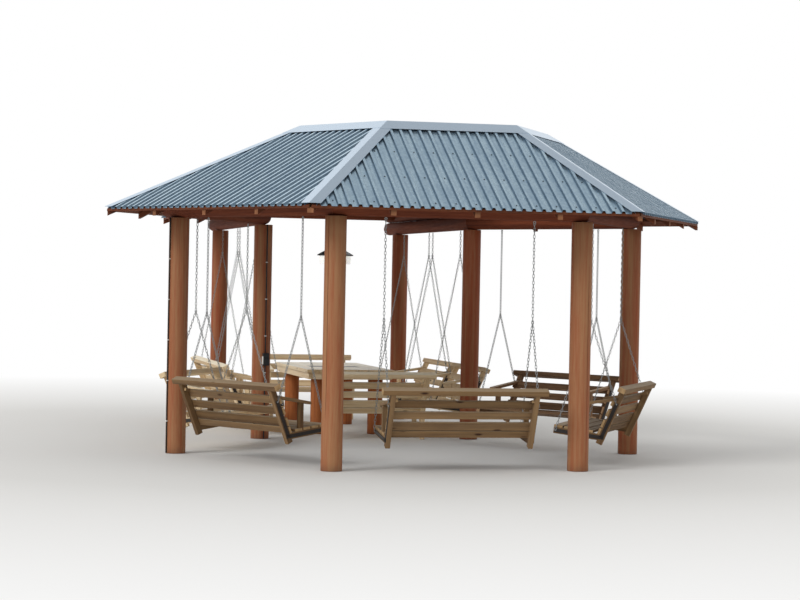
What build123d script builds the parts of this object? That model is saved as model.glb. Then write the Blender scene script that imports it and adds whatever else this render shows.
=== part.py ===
"""Garden gazebo of round logs: a six-sided hall of swing benches with a dining bay behind it."""

import os
from math import cos, hypot, radians, sin, tan

from build123d import *

os.makedirs("parts", exist_ok=True)

# Posts and logs
hall_radius = 2350
post_radius = 100
post_height = 2330
log_radius = 80
bay_depth = 3465
bay_end_half_width = 1145
log_overrun = 600
corner_overrun = 190
joint_gap = 0.3

# Main roof
upper_log_radius = 82
eave_radius = 3090
roof_rise = 853
opening_radius = 1290
opening_shift = (125, -30)

# Roof over the bay
bay_eave_half_width = 1817
bay_eave_step = 81
bay_ridge_drop = 15
bay_overhang = 620

# Roof timbers, their depths measured straight down
rafter_width = 50
rafter_depth = 57
rafter_setback = 30
hip_width = 60
hip_depth = 47
batten_width = 90
batten_depth = 28
batten_rows = 4
batten_setback = 15
curb_width = 50
curb_depth = 150
jacks_per_side = 3
jack_hip_clearance = 50
bay_rafter_pairs = 5
bay_first_rafter = 850
ridge_board_width = 44
ridge_board_depth = 130
tie_radius = 75
tie_clearance = 1.5

# Roofing sheet and flashings
rib_pitch = 188
rib_height = 20
rib_top = 26
rib_foot = 46
sheet_thick = 2.5
sheet_edge_gap = 14
valley_clearance = 16
flashing_width = 190
flashing_thick = 2.5
opening_cap_width = 150
ridge_cap_width = 170

# Swing benches
bench_length = 1400
bay_bench_length = 1270
rail_overhang = 80
heel_height = 320
heel_setback = 100
seat_depth = 450
seat_rise = 7
back_lean = 24
back_length = 455
leg_length = 90
frame_width = 45
frame_depth = 60
board_thick = 25
seat_boards = 4
seat_board_gap = 14
seat_first_board = 66
back_rows = ((-8, 70), (68, 92), (178, 92), (288, 92))
rail_width = 72
rail_thick = 50
arm_width = 70
arm_thick = 28
arm_length = 400
arm_level = 350
arm_drop = 9
arm_post_setback = 90
strap_width = 34
strap_thick = 5
strap_up = 330
strap_out = 430
chain_size = 9
chain_overlap = 1
eye_radius = 9
eye_width = 16
hall_ring_height = 1400
bay_ring_height = 2050

# Standing benches, their places given from the hall's centre
standing_bench_length = 1060
near_bench_place = (125, 2110)
far_bench_place = (20, 5640)
near_heel_height = 285
far_heel_height = 325
front_leg_reach = 395

# Places of the bay's swings along its side logs, from the hall's back posts
bay_swing_places = (1140, 2605)

# Table, its place given from the hall's centre
table_length = 2150
table_width = 1000
table_height = 735
table_place = (-60, 3640)
table_boards = 7
table_board_gap = 6
table_board_thick = 40
apron_depth = 70
apron_thick = 45
apron_setback = 20
table_leg_radius = 85
table_leg_inset = (170, 230)

# Lantern, cable and socket
lantern_cap_radius = 168
lantern_cap_height = 95
lantern_cap_top = 30
lantern_glass_radius = 150
lantern_glass_foot = 143
lantern_glass_height = 82
lantern_level = 1968
lantern_reach = 285
lantern_turn = 79
lantern_arm_size = 16
cable_radius = 7
cable_foot = 6
left_cable_turn = 205
socket_width = 75
socket_height = 140
socket_depth = 55
socket_level = 866
socket_turn = -75


# The origin lies on the ground under the middle of the whole plan, and the hall's centre in front of it
hall_back = hall_radius * sin(radians(60))
hall_centre = (0, (eave_radius * sin(radians(60)) - hall_back - bay_depth - bay_overhang) / 2)


def from_hall(place):
    """Plan point of a place given from the hall's centre."""
    return (place[0] + hall_centre[0], place[1] + hall_centre[1])


def hexagon(radius, shift=(0, 0)):
    """Six plan corners round the hall's centre, from the left one on towards the front."""
    corners = []
    for k in range(6):
        turn = radians(180 + 60 * k)
        corners.append(from_hall((radius * cos(turn) + shift[0], radius * sin(turn) + shift[1])))
    return corners


def heading(start, end):
    """Unit plan vector from start to end."""
    length = hypot(end[0] - start[0], end[1] - start[1])
    return ((end[0] - start[0]) / length, (end[1] - start[1]) / length)


def along(start, direction, distance, aside=0):
    """Plan point a distance along a direction, and aside to its left."""
    return (
        start[0] + direction[0] * distance - direction[1] * aside,
        start[1] + direction[1] * distance + direction[0] * aside,
    )


def finish(piece, name):
    """Label a finished piece and write it."""
    piece.part.label = name
    export_step(piece.part, f"parts/{name}.step")


# Plan of the posts
hall_corners = hexagon(hall_radius)
left_post, front_left_post, front_right_post, right_post, back_right_post, back_left_post = hall_corners
bay_end = back_left_post[1] + bay_depth
bay_left_post = (-bay_end_half_width, bay_end)
bay_right_post = (bay_end_half_width, bay_end)
post_plan = {
    "post_left": left_post,
    "post_front_left": front_left_post,
    "post_front_right": front_right_post,
    "post_right": right_post,
    "post_back_right": back_right_post,
    "post_back_left": back_left_post,
    "post_bay_left": bay_left_post,
    "post_bay_right": bay_right_post,
}

for post_name, spot in post_plan.items():
    with BuildPart() as post:
        with BuildSketch():
            with Locations(spot):
                Circle(post_radius)
        extrude(amount=post_height - joint_gap)
    finish(post, post_name)


def add_log(start, end, radius, axis_height, mode=Mode.ADD):
    """Add a level round log from start to end."""
    direction = heading(start, end)
    lie = Plane(origin=(*start, axis_height), x_dir=(-direction[1], direction[0], 0), z_dir=(*direction, 0))
    with BuildSketch(lie) as section:
        Circle(radius)
    extrude(section.sketch, amount=hypot(end[0] - start[0], end[1] - start[1]), mode=mode)


def keep_ahead(point, direction):
    """Cut the piece off behind a plan point, square to a direction."""
    cut = Plane(origin=(*point, 0), z_dir=(*direction, 0))
    split(bisect_by=cut, keep=Keep.TOP)


def mitre(before, corner, after):
    """Direction that a mitre between two logs is square to."""
    first = heading(before, corner)
    second = heading(corner, after)
    return heading((0, 0), (first[0] + second[0], first[1] + second[1]))


# Lower course: one chain of logs round the hall and out along both sides of the bay
lower_axis = post_height + log_radius
lower_top = post_height + 2 * log_radius
left_run = along(bay_left_post, heading(back_left_post, bay_left_post), log_overrun)
right_run = along(bay_right_post, heading(back_right_post, bay_right_post), log_overrun)
lower_path = [left_run, back_left_post, left_post, front_left_post]
lower_path += [front_right_post, right_post, back_right_post, right_run]
lower_names = ["bay_left", "back_left", "front_left", "front", "front_right", "back_right", "bay_right"]

for k, side in enumerate(lower_names):
    start, end = lower_path[k], lower_path[k + 1]
    direction = heading(start, end)
    back = (-direction[0], -direction[1])
    long_start = along(start, direction, -2 * log_radius) if k > 0 else start
    long_end = along(end, direction, 2 * log_radius) if k < len(lower_names) - 1 else end
    if side == "front_left":
        long_start = along(start, direction, -corner_overrun)
    with BuildPart() as lower_log:
        add_log(long_start, long_end, log_radius, lower_axis)
        if side not in ("bay_left", "front_left"):
            square = mitre(lower_path[k - 1], start, end)
            keep_ahead(along(start, square, joint_gap / 2), square)
        if side == "back_left":
            next_way = heading(end, lower_path[k + 2])
            inward = (next_way[1], -next_way[0])
            if inward[0] * back[0] + inward[1] * back[1] < 0:
                inward = (-inward[0], -inward[1])
            keep_ahead(along(end, inward, log_radius + joint_gap), inward)
        elif side != "bay_right":
            square = mitre(start, end, lower_path[k + 2])
            keep_ahead(along(end, square, -joint_gap / 2), (-square[0], -square[1]))
    finish(lower_log, f"log_{side}")

# Main roof planes: eave corner to opening corner, numbered like the hall's sides
eave_corners = hexagon(eave_radius)
opening_corners = hexagon(opening_radius, opening_shift)
face_names = ["front_left", "front", "front_right", "back_right", "back", "back_left"]


def slope_of(face):
    """Eave start, way along the eave, inward way, pitch and run of a roof face."""
    start = eave_corners[face]
    end = eave_corners[(face + 1) % 6]
    way = heading(start, end)
    inward = (-way[1], way[0])
    top = opening_corners[face]
    run = (top[0] - start[0]) * inward[0] + (top[1] - start[1]) * inward[1]
    return start, way, inward, roof_rise / run, run


# The eave is as high as the front side's upper log carries it
seat_drop = batten_depth + rafter_depth
front_pitch = slope_of(face_names.index("front"))[3]
eave_out = (eave_radius - hall_radius) * sin(radians(60))
front_top = lower_top + 2 * joint_gap + upper_log_radius * (1 + hypot(1, front_pitch))
eave_height = front_top + seat_drop - front_pitch * eave_out
opening_height = eave_height + roof_rise


def between(low, high, share):
    """Plan point at a share of the way from low to high."""
    return (low[0] + (high[0] - low[0]) * share, low[1] + (high[1] - low[1]) * share)


def roof_point(face, share_along, share_up, drop=0, inset=0):
    """Point on a face: a share of its width at a share of its run, moved in from the hips and dropped."""
    nxt = (face + 1) % 6
    low = between(eave_corners[face], opening_corners[face], share_up)
    high = between(eave_corners[nxt], opening_corners[nxt], share_up)
    way = heading(low, high)
    width = hypot(high[0] - low[0], high[1] - low[1])
    spot = along(low, way, inset + (width - 2 * inset) * share_along)
    return (*spot, eave_height + roof_rise * share_up - drop)


def roof_height(face, spot):
    """Height of a face's plane over a plan point."""
    start, way, inward, pitch, run = slope_of(face)
    return eave_height + pitch * ((spot[0] - start[0]) * inward[0] + (spot[1] - start[1]) * inward[1])


def slab(corners, depth, mode=Mode.ADD):
    """Add a flat piece with upright edges, its top at the corners."""
    extrude(Face(Wire.make_polygon(corners)), amount=depth, dir=(0, 0, -1), mode=mode)


# Upper course of the hall: each log is as thick as its rafters' seats need
def upper_radius(face):
    """Half the thickness of the upper log that the face's rafters just rest on."""
    middle = ((hall_corners[face][0] + hall_corners[(face + 1) % 6][0]) / 2,
              (hall_corners[face][1] + hall_corners[(face + 1) % 6][1]) / 2)
    room = roof_height(face, middle) - seat_drop - lower_top - 2 * joint_gap
    return room / (1 + hypot(1, slope_of(face)[3]))


ring_pieces = []
for face in range(6):
    start, end = hall_corners[face], hall_corners[(face + 1) % 6]
    direction = heading(start, end)
    radius = upper_radius(face)
    with BuildPart() as ring_piece:
        add_log(along(start, direction, -2 * log_radius), along(end, direction, 2 * log_radius), radius,
                lower_top + joint_gap + radius)
        square = mitre(hall_corners[face - 1], start, end)
        keep_ahead(along(start, square, joint_gap / 2), square)
        square = mitre(start, end, hall_corners[(face + 2) % 6])
        keep_ahead(along(end, square, -joint_gap / 2), (-square[0], -square[1]))
    ring_pieces.append(ring_piece.part)

# Upper course of the bay, from the hall's corner to the ends of the lower logs
bay_eave_height = eave_height + bay_eave_step
bay_ridge_height = opening_height - bay_ridge_drop
bay_pitch = (bay_ridge_height - bay_eave_height) / bay_eave_half_width
bay_roof_end = bay_end + bay_overhang


def bay_roof_height(x):
    """Height of the bay's roof plane over a distance from its middle."""
    return bay_eave_height + bay_pitch * (bay_eave_half_width - abs(x))


bay_room = bay_roof_height(bay_end_half_width) - seat_drop - lower_top - 2 * joint_gap
bay_upper_radius = bay_room / (1 + hypot(1, bay_pitch))
ring_tip = hall_corners[5][1] + upper_radius(5) / cos(radians(30)) + upper_radius(4)
bay_upper_axis = lower_top + joint_gap + bay_upper_radius
bay_log_paths = []
for start, end in ((back_left_post, left_run), (back_right_post, right_run)):
    bay_log_paths.append((along(start, heading(start, end), ring_tip - start[1]), end))
for start, end in bay_log_paths:
    with BuildPart() as side_log:
        add_log(start, end, bay_upper_radius, bay_upper_axis)
    ring_pieces.append(side_log.part)

tie_reach = bay_end_half_width - bay_upper_radius - tie_clearance
with BuildPart() as tie_log:
    add_log((-tie_reach, bay_end), (tie_reach, bay_end), tie_radius, bay_upper_axis)
ring_pieces.append(tie_log.part)

with BuildPart() as upper_logs:
    add(ring_pieces)
finish(upper_logs, "upper_logs")

# Bodies of air that each roof takes out of the other where they meet
roofing_rise = rib_height + sheet_thick + valley_clearance
opening_back = opening_corners[4][1]


def hall_bulk(rise, mode):
    """Add or take away what lies under the hall's roof planes, raised."""
    with BuildSketch(Plane.XY.offset(eave_height + rise)) as low_outline:
        Polygon(*eave_corners, align=None)
    with BuildSketch(Plane.XY.offset(opening_height + rise)) as high_outline:
        Polygon(*opening_corners, align=None)
    loft([low_outline.sketch, high_outline.sketch], ruled=True, mode=mode)


def bay_bulk(rise, mode):
    """Add or take away what lies under the bay's roof planes, raised."""
    with BuildSketch(Plane(origin=(0, opening_back, 0), x_dir=(1, 0, 0), z_dir=(0, -1, 0))) as gable:
        Polygon(
            (-bay_eave_half_width, bay_eave_height + rise),
            (0, bay_ridge_height + rise),
            (bay_eave_half_width, bay_eave_height + rise),
            (bay_eave_half_width, post_height),
            (-bay_eave_half_width, post_height),
            align=None,
        )
    extrude(gable.sketch, amount=bay_roof_end - opening_back, dir=(0, 1, 0), mode=mode)


# Curb round the opening
curb_inset = curb_width / cos(radians(30))
curb_inner = hexagon(opening_radius - curb_inset, opening_shift)
with BuildPart() as curb:
    with BuildSketch(Plane.XY.offset(opening_height - curb_depth)) as curb_plan:
        Polygon(*opening_corners, align=None)
        Polygon(*curb_inner, align=None, mode=Mode.SUBTRACT)
    extrude(curb_plan.sketch, amount=curb_depth, dir=(0, 0, 1))
finish(curb, "curb")

# Rafters: jacks on each face, and a hip at each corner with its top backed to both faces.
# Those at the back have no tails, because the bay's room is there.
back_foot_out = eave_out - post_radius
with BuildPart() as hall_rafters:
    for face in range(6):
        start, way, inward, pitch, run = slope_of(face)
        end = eave_corners[(face + 1) % 6]
        width = hypot(end[0] - start[0], end[1] - start[1])
        top_start, top_end = opening_corners[face], opening_corners[(face + 1) % 6]
        lead = (top_start[0] - start[0]) * way[0] + (top_start[1] - start[1]) * way[1]
        lag = (end[0] - top_end[0]) * way[0] + (end[1] - top_end[1]) * way[1]
        foot_out = back_foot_out if face_names[face] == "back" else rafter_setback
        for k in range(jacks_per_side):
            place = width * (k + 1) / (jacks_per_side + 1)
            reach = run - joint_gap
            if place - rafter_width < lead:
                reach = run * (place - rafter_width / 2 - jack_hip_clearance) / lead
            if width - place - rafter_width < lag:
                reach = run * (width - place - rafter_width / 2 - jack_hip_clearance) / lag
            corners = []
            for aside, out in ((-1, foot_out), (1, foot_out), (1, reach), (-1, reach)):
                spot = along(along(start, inward, out), way, place + aside * rafter_width / 2)
                corners.append((*spot, roof_height(face, spot) - batten_depth))
            slab(corners, rafter_depth)
finish(hall_rafters, "hall_rafters")

with BuildPart() as hip_rafters:
    for k in range(6):
        low, high = eave_corners[k], opening_corners[k]
        direction = heading(low, high)
        length = hypot(high[0] - low[0], high[1] - low[1])
        climb = roof_rise / length
        foot_out = back_foot_out if k in (4, 5) else rafter_setback
        foot = along(low, direction, foot_out)
        foot_height = eave_height + climb * foot_out
        half = hip_width / 2
        right_drop = foot_height - roof_height(k, along(foot, direction, 0, -half))
        left_drop = foot_height - roof_height(k - 1, along(foot, direction, 0, half))
        section_plane = Plane(
            origin=(*foot, foot_height - batten_depth),
            x_dir=(-direction[1], direction[0], 0),
            z_dir=(*direction, 0),
        )
        with BuildSketch(section_plane) as hip_section:
            Polygon((-half, -hip_depth), (half, -hip_depth), (half, -left_drop), (0, 0),
                    (-half, -right_drop), align=None)
        hip_run = length - foot_out + half
        extrude(hip_section.sketch, amount=hip_run * hypot(1, climb), dir=(*direction, climb))
    with BuildSketch(Plane.XY.offset(opening_height - curb_depth)) as opening_plan:
        Polygon(*hexagon(opening_radius + joint_gap, opening_shift), align=None)
    extrude(opening_plan.sketch, amount=2 * curb_depth, dir=(0, 0, 1), mode=Mode.SUBTRACT)
    for start, end in bay_log_paths:
        add_log(start, end, bay_upper_radius + joint_gap, bay_upper_axis, Mode.SUBTRACT)
finish(hip_rafters, "hip_rafters")

# Bay timbers: pairs of rafters against a ridge board that lands on the hall's rafters
bay_first = back_left_post[1] + bay_first_rafter
bay_last = bay_roof_end - rafter_setback - rafter_width / 2
ridge_half = ridge_board_width / 2
ridge_top = bay_roof_height(ridge_half) - batten_depth

with BuildPart() as bay_rafters:
    for k in range(bay_rafter_pairs):
        y = bay_first + (bay_last - bay_first) * k / (bay_rafter_pairs - 1)
        for side in (-1, 1):
            inner, outer = ridge_half + joint_gap, bay_eave_half_width - rafter_setback
            corners = []
            for x, aside in ((inner, -1), (inner, 1), (outer, 1), (outer, -1)):
                corners.append((side * x, y + aside * rafter_width / 2, bay_roof_height(x) - batten_depth))
            slab(corners, rafter_depth)
    slab([
        (-ridge_half, opening_back, ridge_top),
        (ridge_half, opening_back, ridge_top),
        (ridge_half, bay_last + rafter_width / 2, ridge_top),
        (-ridge_half, bay_last + rafter_width / 2, ridge_top),
    ], ridge_board_depth)
    hall_bulk(joint_gap - batten_depth, Mode.SUBTRACT)
    for start, end in bay_log_paths:
        add_log(start, end, bay_upper_radius + joint_gap, bay_upper_axis, Mode.SUBTRACT)
finish(bay_rafters, "bay_rafters")

# Valley lines where the roof planes cross, as plan points from the ridge out to the bay's eave
valleys = []
for side, back_face, side_face, hip in ((-1, 4, 5, 5), (1, 4, 3, 4)):
    start, way, inward, pitch, run = slope_of(back_face)
    ridge_meet = (0, start[1] - (bay_ridge_height - eave_height) / pitch)
    low, high = eave_corners[hip], opening_corners[hip]
    gain = roof_rise + bay_pitch * side * (high[0] - low[0])
    share = (bay_roof_height(low[0]) - eave_height) / gain
    kink = (low[0] + (high[0] - low[0]) * share, low[1] + (high[1] - low[1]) * share)
    above = along(kink, heading(low, high), flashing_width)
    start, way, inward, pitch, run = slope_of(side_face)
    edge_x = side * bay_eave_half_width
    depth_in = (bay_eave_height - eave_height) / pitch
    edge_y = start[1] + (depth_in - (edge_x - start[0]) * inward[0]) / inward[1]
    valleys.append((side, back_face, side_face, ridge_meet, kink, above, (edge_x, edge_y)))


def valley_plates(rise, depth, mode=Mode.ADD):
    """Add or take away the plates of both valleys, moved up by a rise."""
    for side, back_face, side_face, ridge_meet, kink, above, edge in valleys:
        aside = (ridge_meet[0] + side * flashing_width, ridge_meet[1])
        upper_edge = (edge[0] + above[0] - kink[0], edge[1] + above[1] - kink[1])
        for face, outline in ((back_face, (ridge_meet, kink, above, aside)),
                              (side_face, (kink, edge, upper_edge, above))):
            slab([(*spot, roof_height(face, spot) + rise) for spot in outline], depth, mode)
        bay_side = [ridge_meet, kink, edge]
        for spot in (edge, kink, ridge_meet):
            bay_side.append((spot[0], spot[1] + flashing_width))
        slab([(*spot, bay_roof_height(spot[0]) + rise) for spot in bay_side], depth, mode)


with BuildPart() as valley_flashings:
    valley_plates(-joint_gap, flashing_thick)
finish(valley_flashings, "valley_flashings")

# Battens under the sheets, rebated for the valley plates
with BuildPart() as battens:
    for face in range(6):
        start, way, inward, pitch, run = slope_of(face)
        for k in range(batten_rows):
            low_out = batten_setback + k * (run - 2 * batten_setback - batten_width) / (batten_rows - 1)
            low_share, high_share = low_out / run, (low_out + batten_width) / run
            slab([
                roof_point(face, 0, low_share, 0, sheet_edge_gap),
                roof_point(face, 1, low_share, 0, sheet_edge_gap),
                roof_point(face, 1, high_share, 0, sheet_edge_gap),
                roof_point(face, 0, high_share, 0, sheet_edge_gap),
            ], batten_depth)
    bay_bulk(0, Mode.SUBTRACT)
hall_battens = battens.part

bay_batten_room = bay_eave_half_width - sheet_edge_gap - 2 * batten_setback - batten_width
batten_end = bay_roof_end - batten_setback
with BuildPart() as bay_battens:
    for side in (-1, 1):
        for k in range(batten_rows):
            inner = sheet_edge_gap + bay_batten_room * k / (batten_rows - 1)
            outer = inner + batten_width
            corners = []
            for x, y in ((inner, opening_back), (outer, opening_back), (outer, batten_end),
                         (inner, batten_end)):
                corners.append((side * x, y, bay_roof_height(x)))
            slab(corners, batten_depth)
    hall_bulk(roofing_rise, Mode.SUBTRACT)

with BuildPart() as all_battens:
    add([hall_battens, bay_battens.part])
    valley_plates(0, flashing_thick + 2 * joint_gap, Mode.SUBTRACT)
finish(all_battens, "battens")


def ribbed_sheet(start, end, eave, pitch, run, outline):
    """Add a ribbed sheet in a roof plane, trimmed to a plan outline."""
    way = heading(start, end)
    inward = (-way[1], way[0])
    width = hypot(end[0] - start[0], end[1] - start[1])
    count = int(width / rib_pitch)
    margin = (width - count * rib_pitch) / 2
    over = [(0, sheet_thick)]
    for k in range(count):
        middle = margin + rib_pitch * (k + 0.5)
        for half, level in ((-rib_foot / 2, 0), (-rib_top / 2, rib_height), (rib_top / 2, rib_height),
                            (rib_foot / 2, 0)):
            over.append((middle + half, level + sheet_thick))
    over.append((width, sheet_thick))
    across = Plane(
        origin=(*along(end, inward, -rib_foot), eave - pitch * rib_foot),
        x_dir=(-way[0], -way[1], 0),
        z_dir=(*inward, pitch),
    )
    with BuildSketch(across) as profile:
        Polygon((0, 0), (width, 0), *reversed(over), align=None)
    extrude(profile.sketch, amount=(run + 2 * rib_foot) * hypot(1, pitch), dir=(*inward, pitch))
    with BuildSketch(Plane.XY.offset(post_height)) as plan:
        Polygon(*outline, align=None)
    extrude(plan.sketch, amount=opening_height, dir=(0, 0, 1), mode=Mode.INTERSECT)


def finish_largest(piece, name, count):
    """Write the largest solids of a piece, without the slivers a valley cut leaves."""
    kept = piece.solids().sort_by(SortBy.VOLUME)[-count:]
    with BuildPart() as trimmed:
        add(kept)
    finish(trimmed, name)


for face, face_name in enumerate(face_names):
    start, way, inward, pitch, run = slope_of(face)
    outline = [
        roof_point(face, 0, 0, 0, sheet_edge_gap)[:2],
        roof_point(face, 1, 0, 0, sheet_edge_gap)[:2],
        roof_point(face, 1, 1, 0, sheet_edge_gap)[:2],
        roof_point(face, 0, 1, 0, sheet_edge_gap)[:2],
    ]
    with BuildPart() as sheet:
        ribbed_sheet(start, eave_corners[(face + 1) % 6], eave_height, pitch, run, outline)
        if face_name.startswith("back"):
            bay_bulk(roofing_rise, Mode.SUBTRACT)
    finish_largest(sheet, f"sheet_{face_name}", 2 if face_name == "back" else 1)

for side, side_name in ((-1, "bay_left"), (1, "bay_right")):
    far_corner = (side * bay_eave_half_width, bay_roof_end)
    near_corner = (side * bay_eave_half_width, opening_back)
    start, end = (far_corner, near_corner) if side < 0 else (near_corner, far_corner)
    ridge_x = side * sheet_edge_gap
    with BuildPart() as sheet:
        ribbed_sheet(start, end, bay_eave_height, bay_pitch, bay_eave_half_width,
                     [start, end, (ridge_x, end[1]), (ridge_x, start[1])])
        hall_bulk(roofing_rise, Mode.SUBTRACT)
    finish_largest(sheet, f"sheet_{side_name}", 1)

# Folded caps over the hips and the bay's ridge
steepest = max(slope_of(face)[3] for face in range(6))
cap_rise = (rib_height + sheet_thick) * hypot(1, steepest) + flashing_thick + 2 * joint_gap
with BuildPart() as hip_caps:
    for k in range(6):
        low, high = eave_corners[k], opening_corners[k]
        for face, turn in ((k, 1), ((k - 1) % 6, -1)):
            start, way, inward, pitch, run = slope_of(face)
            aside = turn * flashing_width / 2 / cos(radians(30))
            outline = (low, high, along(high, way, aside), along(low, way, aside))
            slab([(*spot, roof_height(face, spot) + cap_rise) for spot in outline], flashing_thick)
    bay_bulk(roofing_rise, Mode.SUBTRACT)
    hip_cap_part = hip_caps.part

ridge_rise = (rib_height + sheet_thick) * hypot(1, bay_pitch) + flashing_thick + 2 * joint_gap
with BuildPart() as ridge_cap:
    for side in (-1, 1):
        edge_x = side * ridge_cap_width / 2
        slab([
            (0, opening_back, bay_ridge_height + ridge_rise),
            (edge_x, opening_back, bay_roof_height(edge_x) + ridge_rise),
            (edge_x, bay_roof_end, bay_roof_height(edge_x) + ridge_rise),
            (0, bay_roof_end, bay_ridge_height + ridge_rise),
        ], flashing_thick)
    hall_bulk(roofing_rise, Mode.SUBTRACT)

with BuildPart() as caps:
    add([hip_cap_part, ridge_cap.part])
finish(caps, "hip_and_ridge_caps")

# Cap round the opening: sloping aprons over the sheets' upper ends, and a lip over the curb
top_rise = cap_rise + flashing_thick + joint_gap
lip_radius = opening_radius - curb_inset - (flashing_thick + joint_gap) / cos(radians(30))
lip_top = opening_height + top_rise
with BuildPart() as top_cap:
    for face in range(6):
        start, way, inward, pitch, run = slope_of(face)
        share = 1 - opening_cap_width / run
        outline = [roof_point(face, 0, share), roof_point(face, 1, share), roof_point(face, 1, 1),
                   roof_point(face, 0, 1)]
        slab([(x, y, z + top_rise) for x, y, z in outline], flashing_thick)
    with BuildSketch(Plane.XY.offset(lip_top - flashing_thick)) as lip_plan:
        Polygon(*opening_corners, align=None)
        Polygon(*hexagon(lip_radius, opening_shift), align=None, mode=Mode.SUBTRACT)
    extrude(lip_plan.sketch, amount=flashing_thick, dir=(0, 0, 1))
    with BuildSketch(Plane.XY.offset(lip_top - curb_depth / 2)) as lip_fold:
        fold_radius = opening_radius - curb_inset - joint_gap / cos(radians(30))
        Polygon(*hexagon(fold_radius, opening_shift), align=None)
        Polygon(*hexagon(lip_radius, opening_shift), align=None, mode=Mode.SUBTRACT)
    extrude(lip_fold.sketch, amount=curb_depth / 2, dir=(0, 0, 1))
    bay_bulk(joint_gap, Mode.SUBTRACT)
finish(top_cap, "top_cap")


def plank(base, facing, points, first, last):
    """Add a board of a bench by its section: points are (forward, height) from the bench's middle line."""
    across = (facing[1], -facing[0])
    origin = (base[0] + across[0] * first, base[1] + across[1] * first, 0)
    with BuildSketch(Plane(origin=origin, x_dir=(*facing, 0), z_dir=(*across, 0))) as section:
        Polygon(*points, align=None)
    extrude(section.sketch, amount=last - first, dir=(*across, 0))


def strip(start, way, near, far, low, high):
    """Section of a straight board: from near to far along a way, from low to high to its left."""
    aside = (-way[1], way[0])
    return [
        (start[0] + way[0] * reach + aside[0] * level, start[1] + way[1] * reach + aside[1] * level)
        for reach, level in ((near, low), (far, low), (far, high), (near, high))
    ]


back_way = (-sin(radians(back_lean)), cos(radians(back_lean)))
seat_way = (cos(radians(seat_rise)), sin(radians(seat_rise)))
arm_way = (cos(radians(arm_drop)), -sin(radians(arm_drop)))


def bench_timbers(base, facing, length, heel_level, standing):
    """Add a bench: frames, seat and back boards, rail, arms, and legs if it stands."""
    heel = (-heel_setback, heel_level)
    half = length / 2
    board_width = (seat_depth - seat_first_board - (seat_boards - 1) * seat_board_gap) / seat_boards
    arm_back = (heel[0] + back_way[0] * arm_level, heel[1] + back_way[1] * arm_level)
    post_far = arm_length - arm_post_setback
    post_top = (arm_back[0] + arm_way[0] * post_far, arm_back[1] + arm_way[1] * post_far)
    post_foot = heel_level + (post_top[0] - heel[0]) * tan(radians(seat_rise))
    for side in (-1, 1):
        outer = side * half
        inner = outer - side * frame_width
        near, far = min(inner, outer), max(inner, outer)
        plank(base, facing, strip(heel, back_way, -leg_length, back_length, 0, frame_depth), near, far)
        plank(base, facing, strip(heel, seat_way, -frame_depth, seat_depth, -frame_depth, 0), near, far)
        if standing:
            for front in (heel[0], heel[0] + front_leg_reach):
                rear = front - frame_depth
                leg = [(rear, 0), (front, 0), (front, heel_level), (rear, heel_level)]
                plank(base, facing, leg, near, far)
        inner = outer - side * arm_width
        plank(base, facing, strip(arm_back, arm_way, -frame_depth, arm_length, 0, arm_thick),
              min(inner, outer), max(inner, outer))
        tenon = arm_thick / 2
        arm_post = [(post_top[0] - frame_width, post_foot - tenon), (post_top[0], post_foot - tenon),
                    (post_top[0], post_top[1] + tenon), (post_top[0] - frame_width, post_top[1] + tenon)]
        plank(base, facing, arm_post, near, far)
    for near, width in back_rows:
        plank(base, facing, strip(heel, back_way, near, near + width, -board_thick, 0), -half, half)
    for k in range(seat_boards):
        near = seat_first_board + k * (board_width + seat_board_gap)
        plank(base, facing, strip(heel, seat_way, near, near + board_width, 0, board_thick), -half, half)
    rail_middle = frame_depth / 2
    plank(base, facing, strip(heel, back_way, back_length, back_length + rail_thick,
                              rail_middle - rail_width / 2, rail_middle + rail_width / 2),
          -half - rail_overhang, half + rail_overhang)


def bar(base, facing, start, end, first):
    """Add a straight run of chain between two points of the hanger's plan."""
    length = hypot(end[0] - start[0], end[1] - start[1])
    way = ((end[0] - start[0]) / length, (end[1] - start[1]) / length)
    half = chain_size / 2
    plank(base, facing, strip(start, way, -half, length + half, -half, half), first, first + chain_size)


eye_level = post_height - joint_gap - eye_radius


def hanger(base, facing, length, ring_height):
    """Add both hangers of a swing: eye under the log, chains and the strap on the bench's end."""
    heel = (-heel_setback, heel_height)
    middle = frame_depth / 2
    strap_top = (heel[0] + back_way[0] * strap_up - back_way[1] * middle,
                 heel[1] + back_way[1] * strap_up + back_way[0] * middle)
    strap_tip = (heel[0] + seat_way[0] * strap_out + seat_way[1] * middle,
                 heel[1] + seat_way[1] * strap_out - seat_way[0] * middle)
    low, high = middle - strap_width / 2, middle + strap_width / 2
    up_strap = strip(heel, back_way, -middle, strap_up, low, high)
    out_strap = strip(heel, seat_way, -high, strap_out, -high, -low)
    for side in (-1, 1):
        inner = side * (length / 2 + joint_gap)
        outer = inner + side * strap_thick
        chain_first = outer - chain_overlap if side > 0 else outer + chain_overlap - chain_size
        chain_middle = chain_first + chain_size / 2
        plank(base, facing, up_strap, min(inner, outer), max(inner, outer))
        plank(base, facing, out_strap, min(inner, outer), max(inner, outer))
        bar(base, facing, (0, eye_level), (0, ring_height), chain_first)
        bar(base, facing, (0, ring_height), strap_top, chain_first)
        bar(base, facing, (0, ring_height), strap_tip, chain_first)
        across = (facing[1], -facing[0])
        origin = (base[0] + across[0] * (chain_middle - eye_width / 2),
                  base[1] + across[1] * (chain_middle - eye_width / 2), eye_level)
        with BuildSketch(Plane(origin=origin, x_dir=(*facing, 0), z_dir=(*across, 0))) as eye:
            RegularPolygon(eye_radius, 8)
        extrude(eye.sketch, amount=eye_width, dir=(*across, 0))


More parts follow.
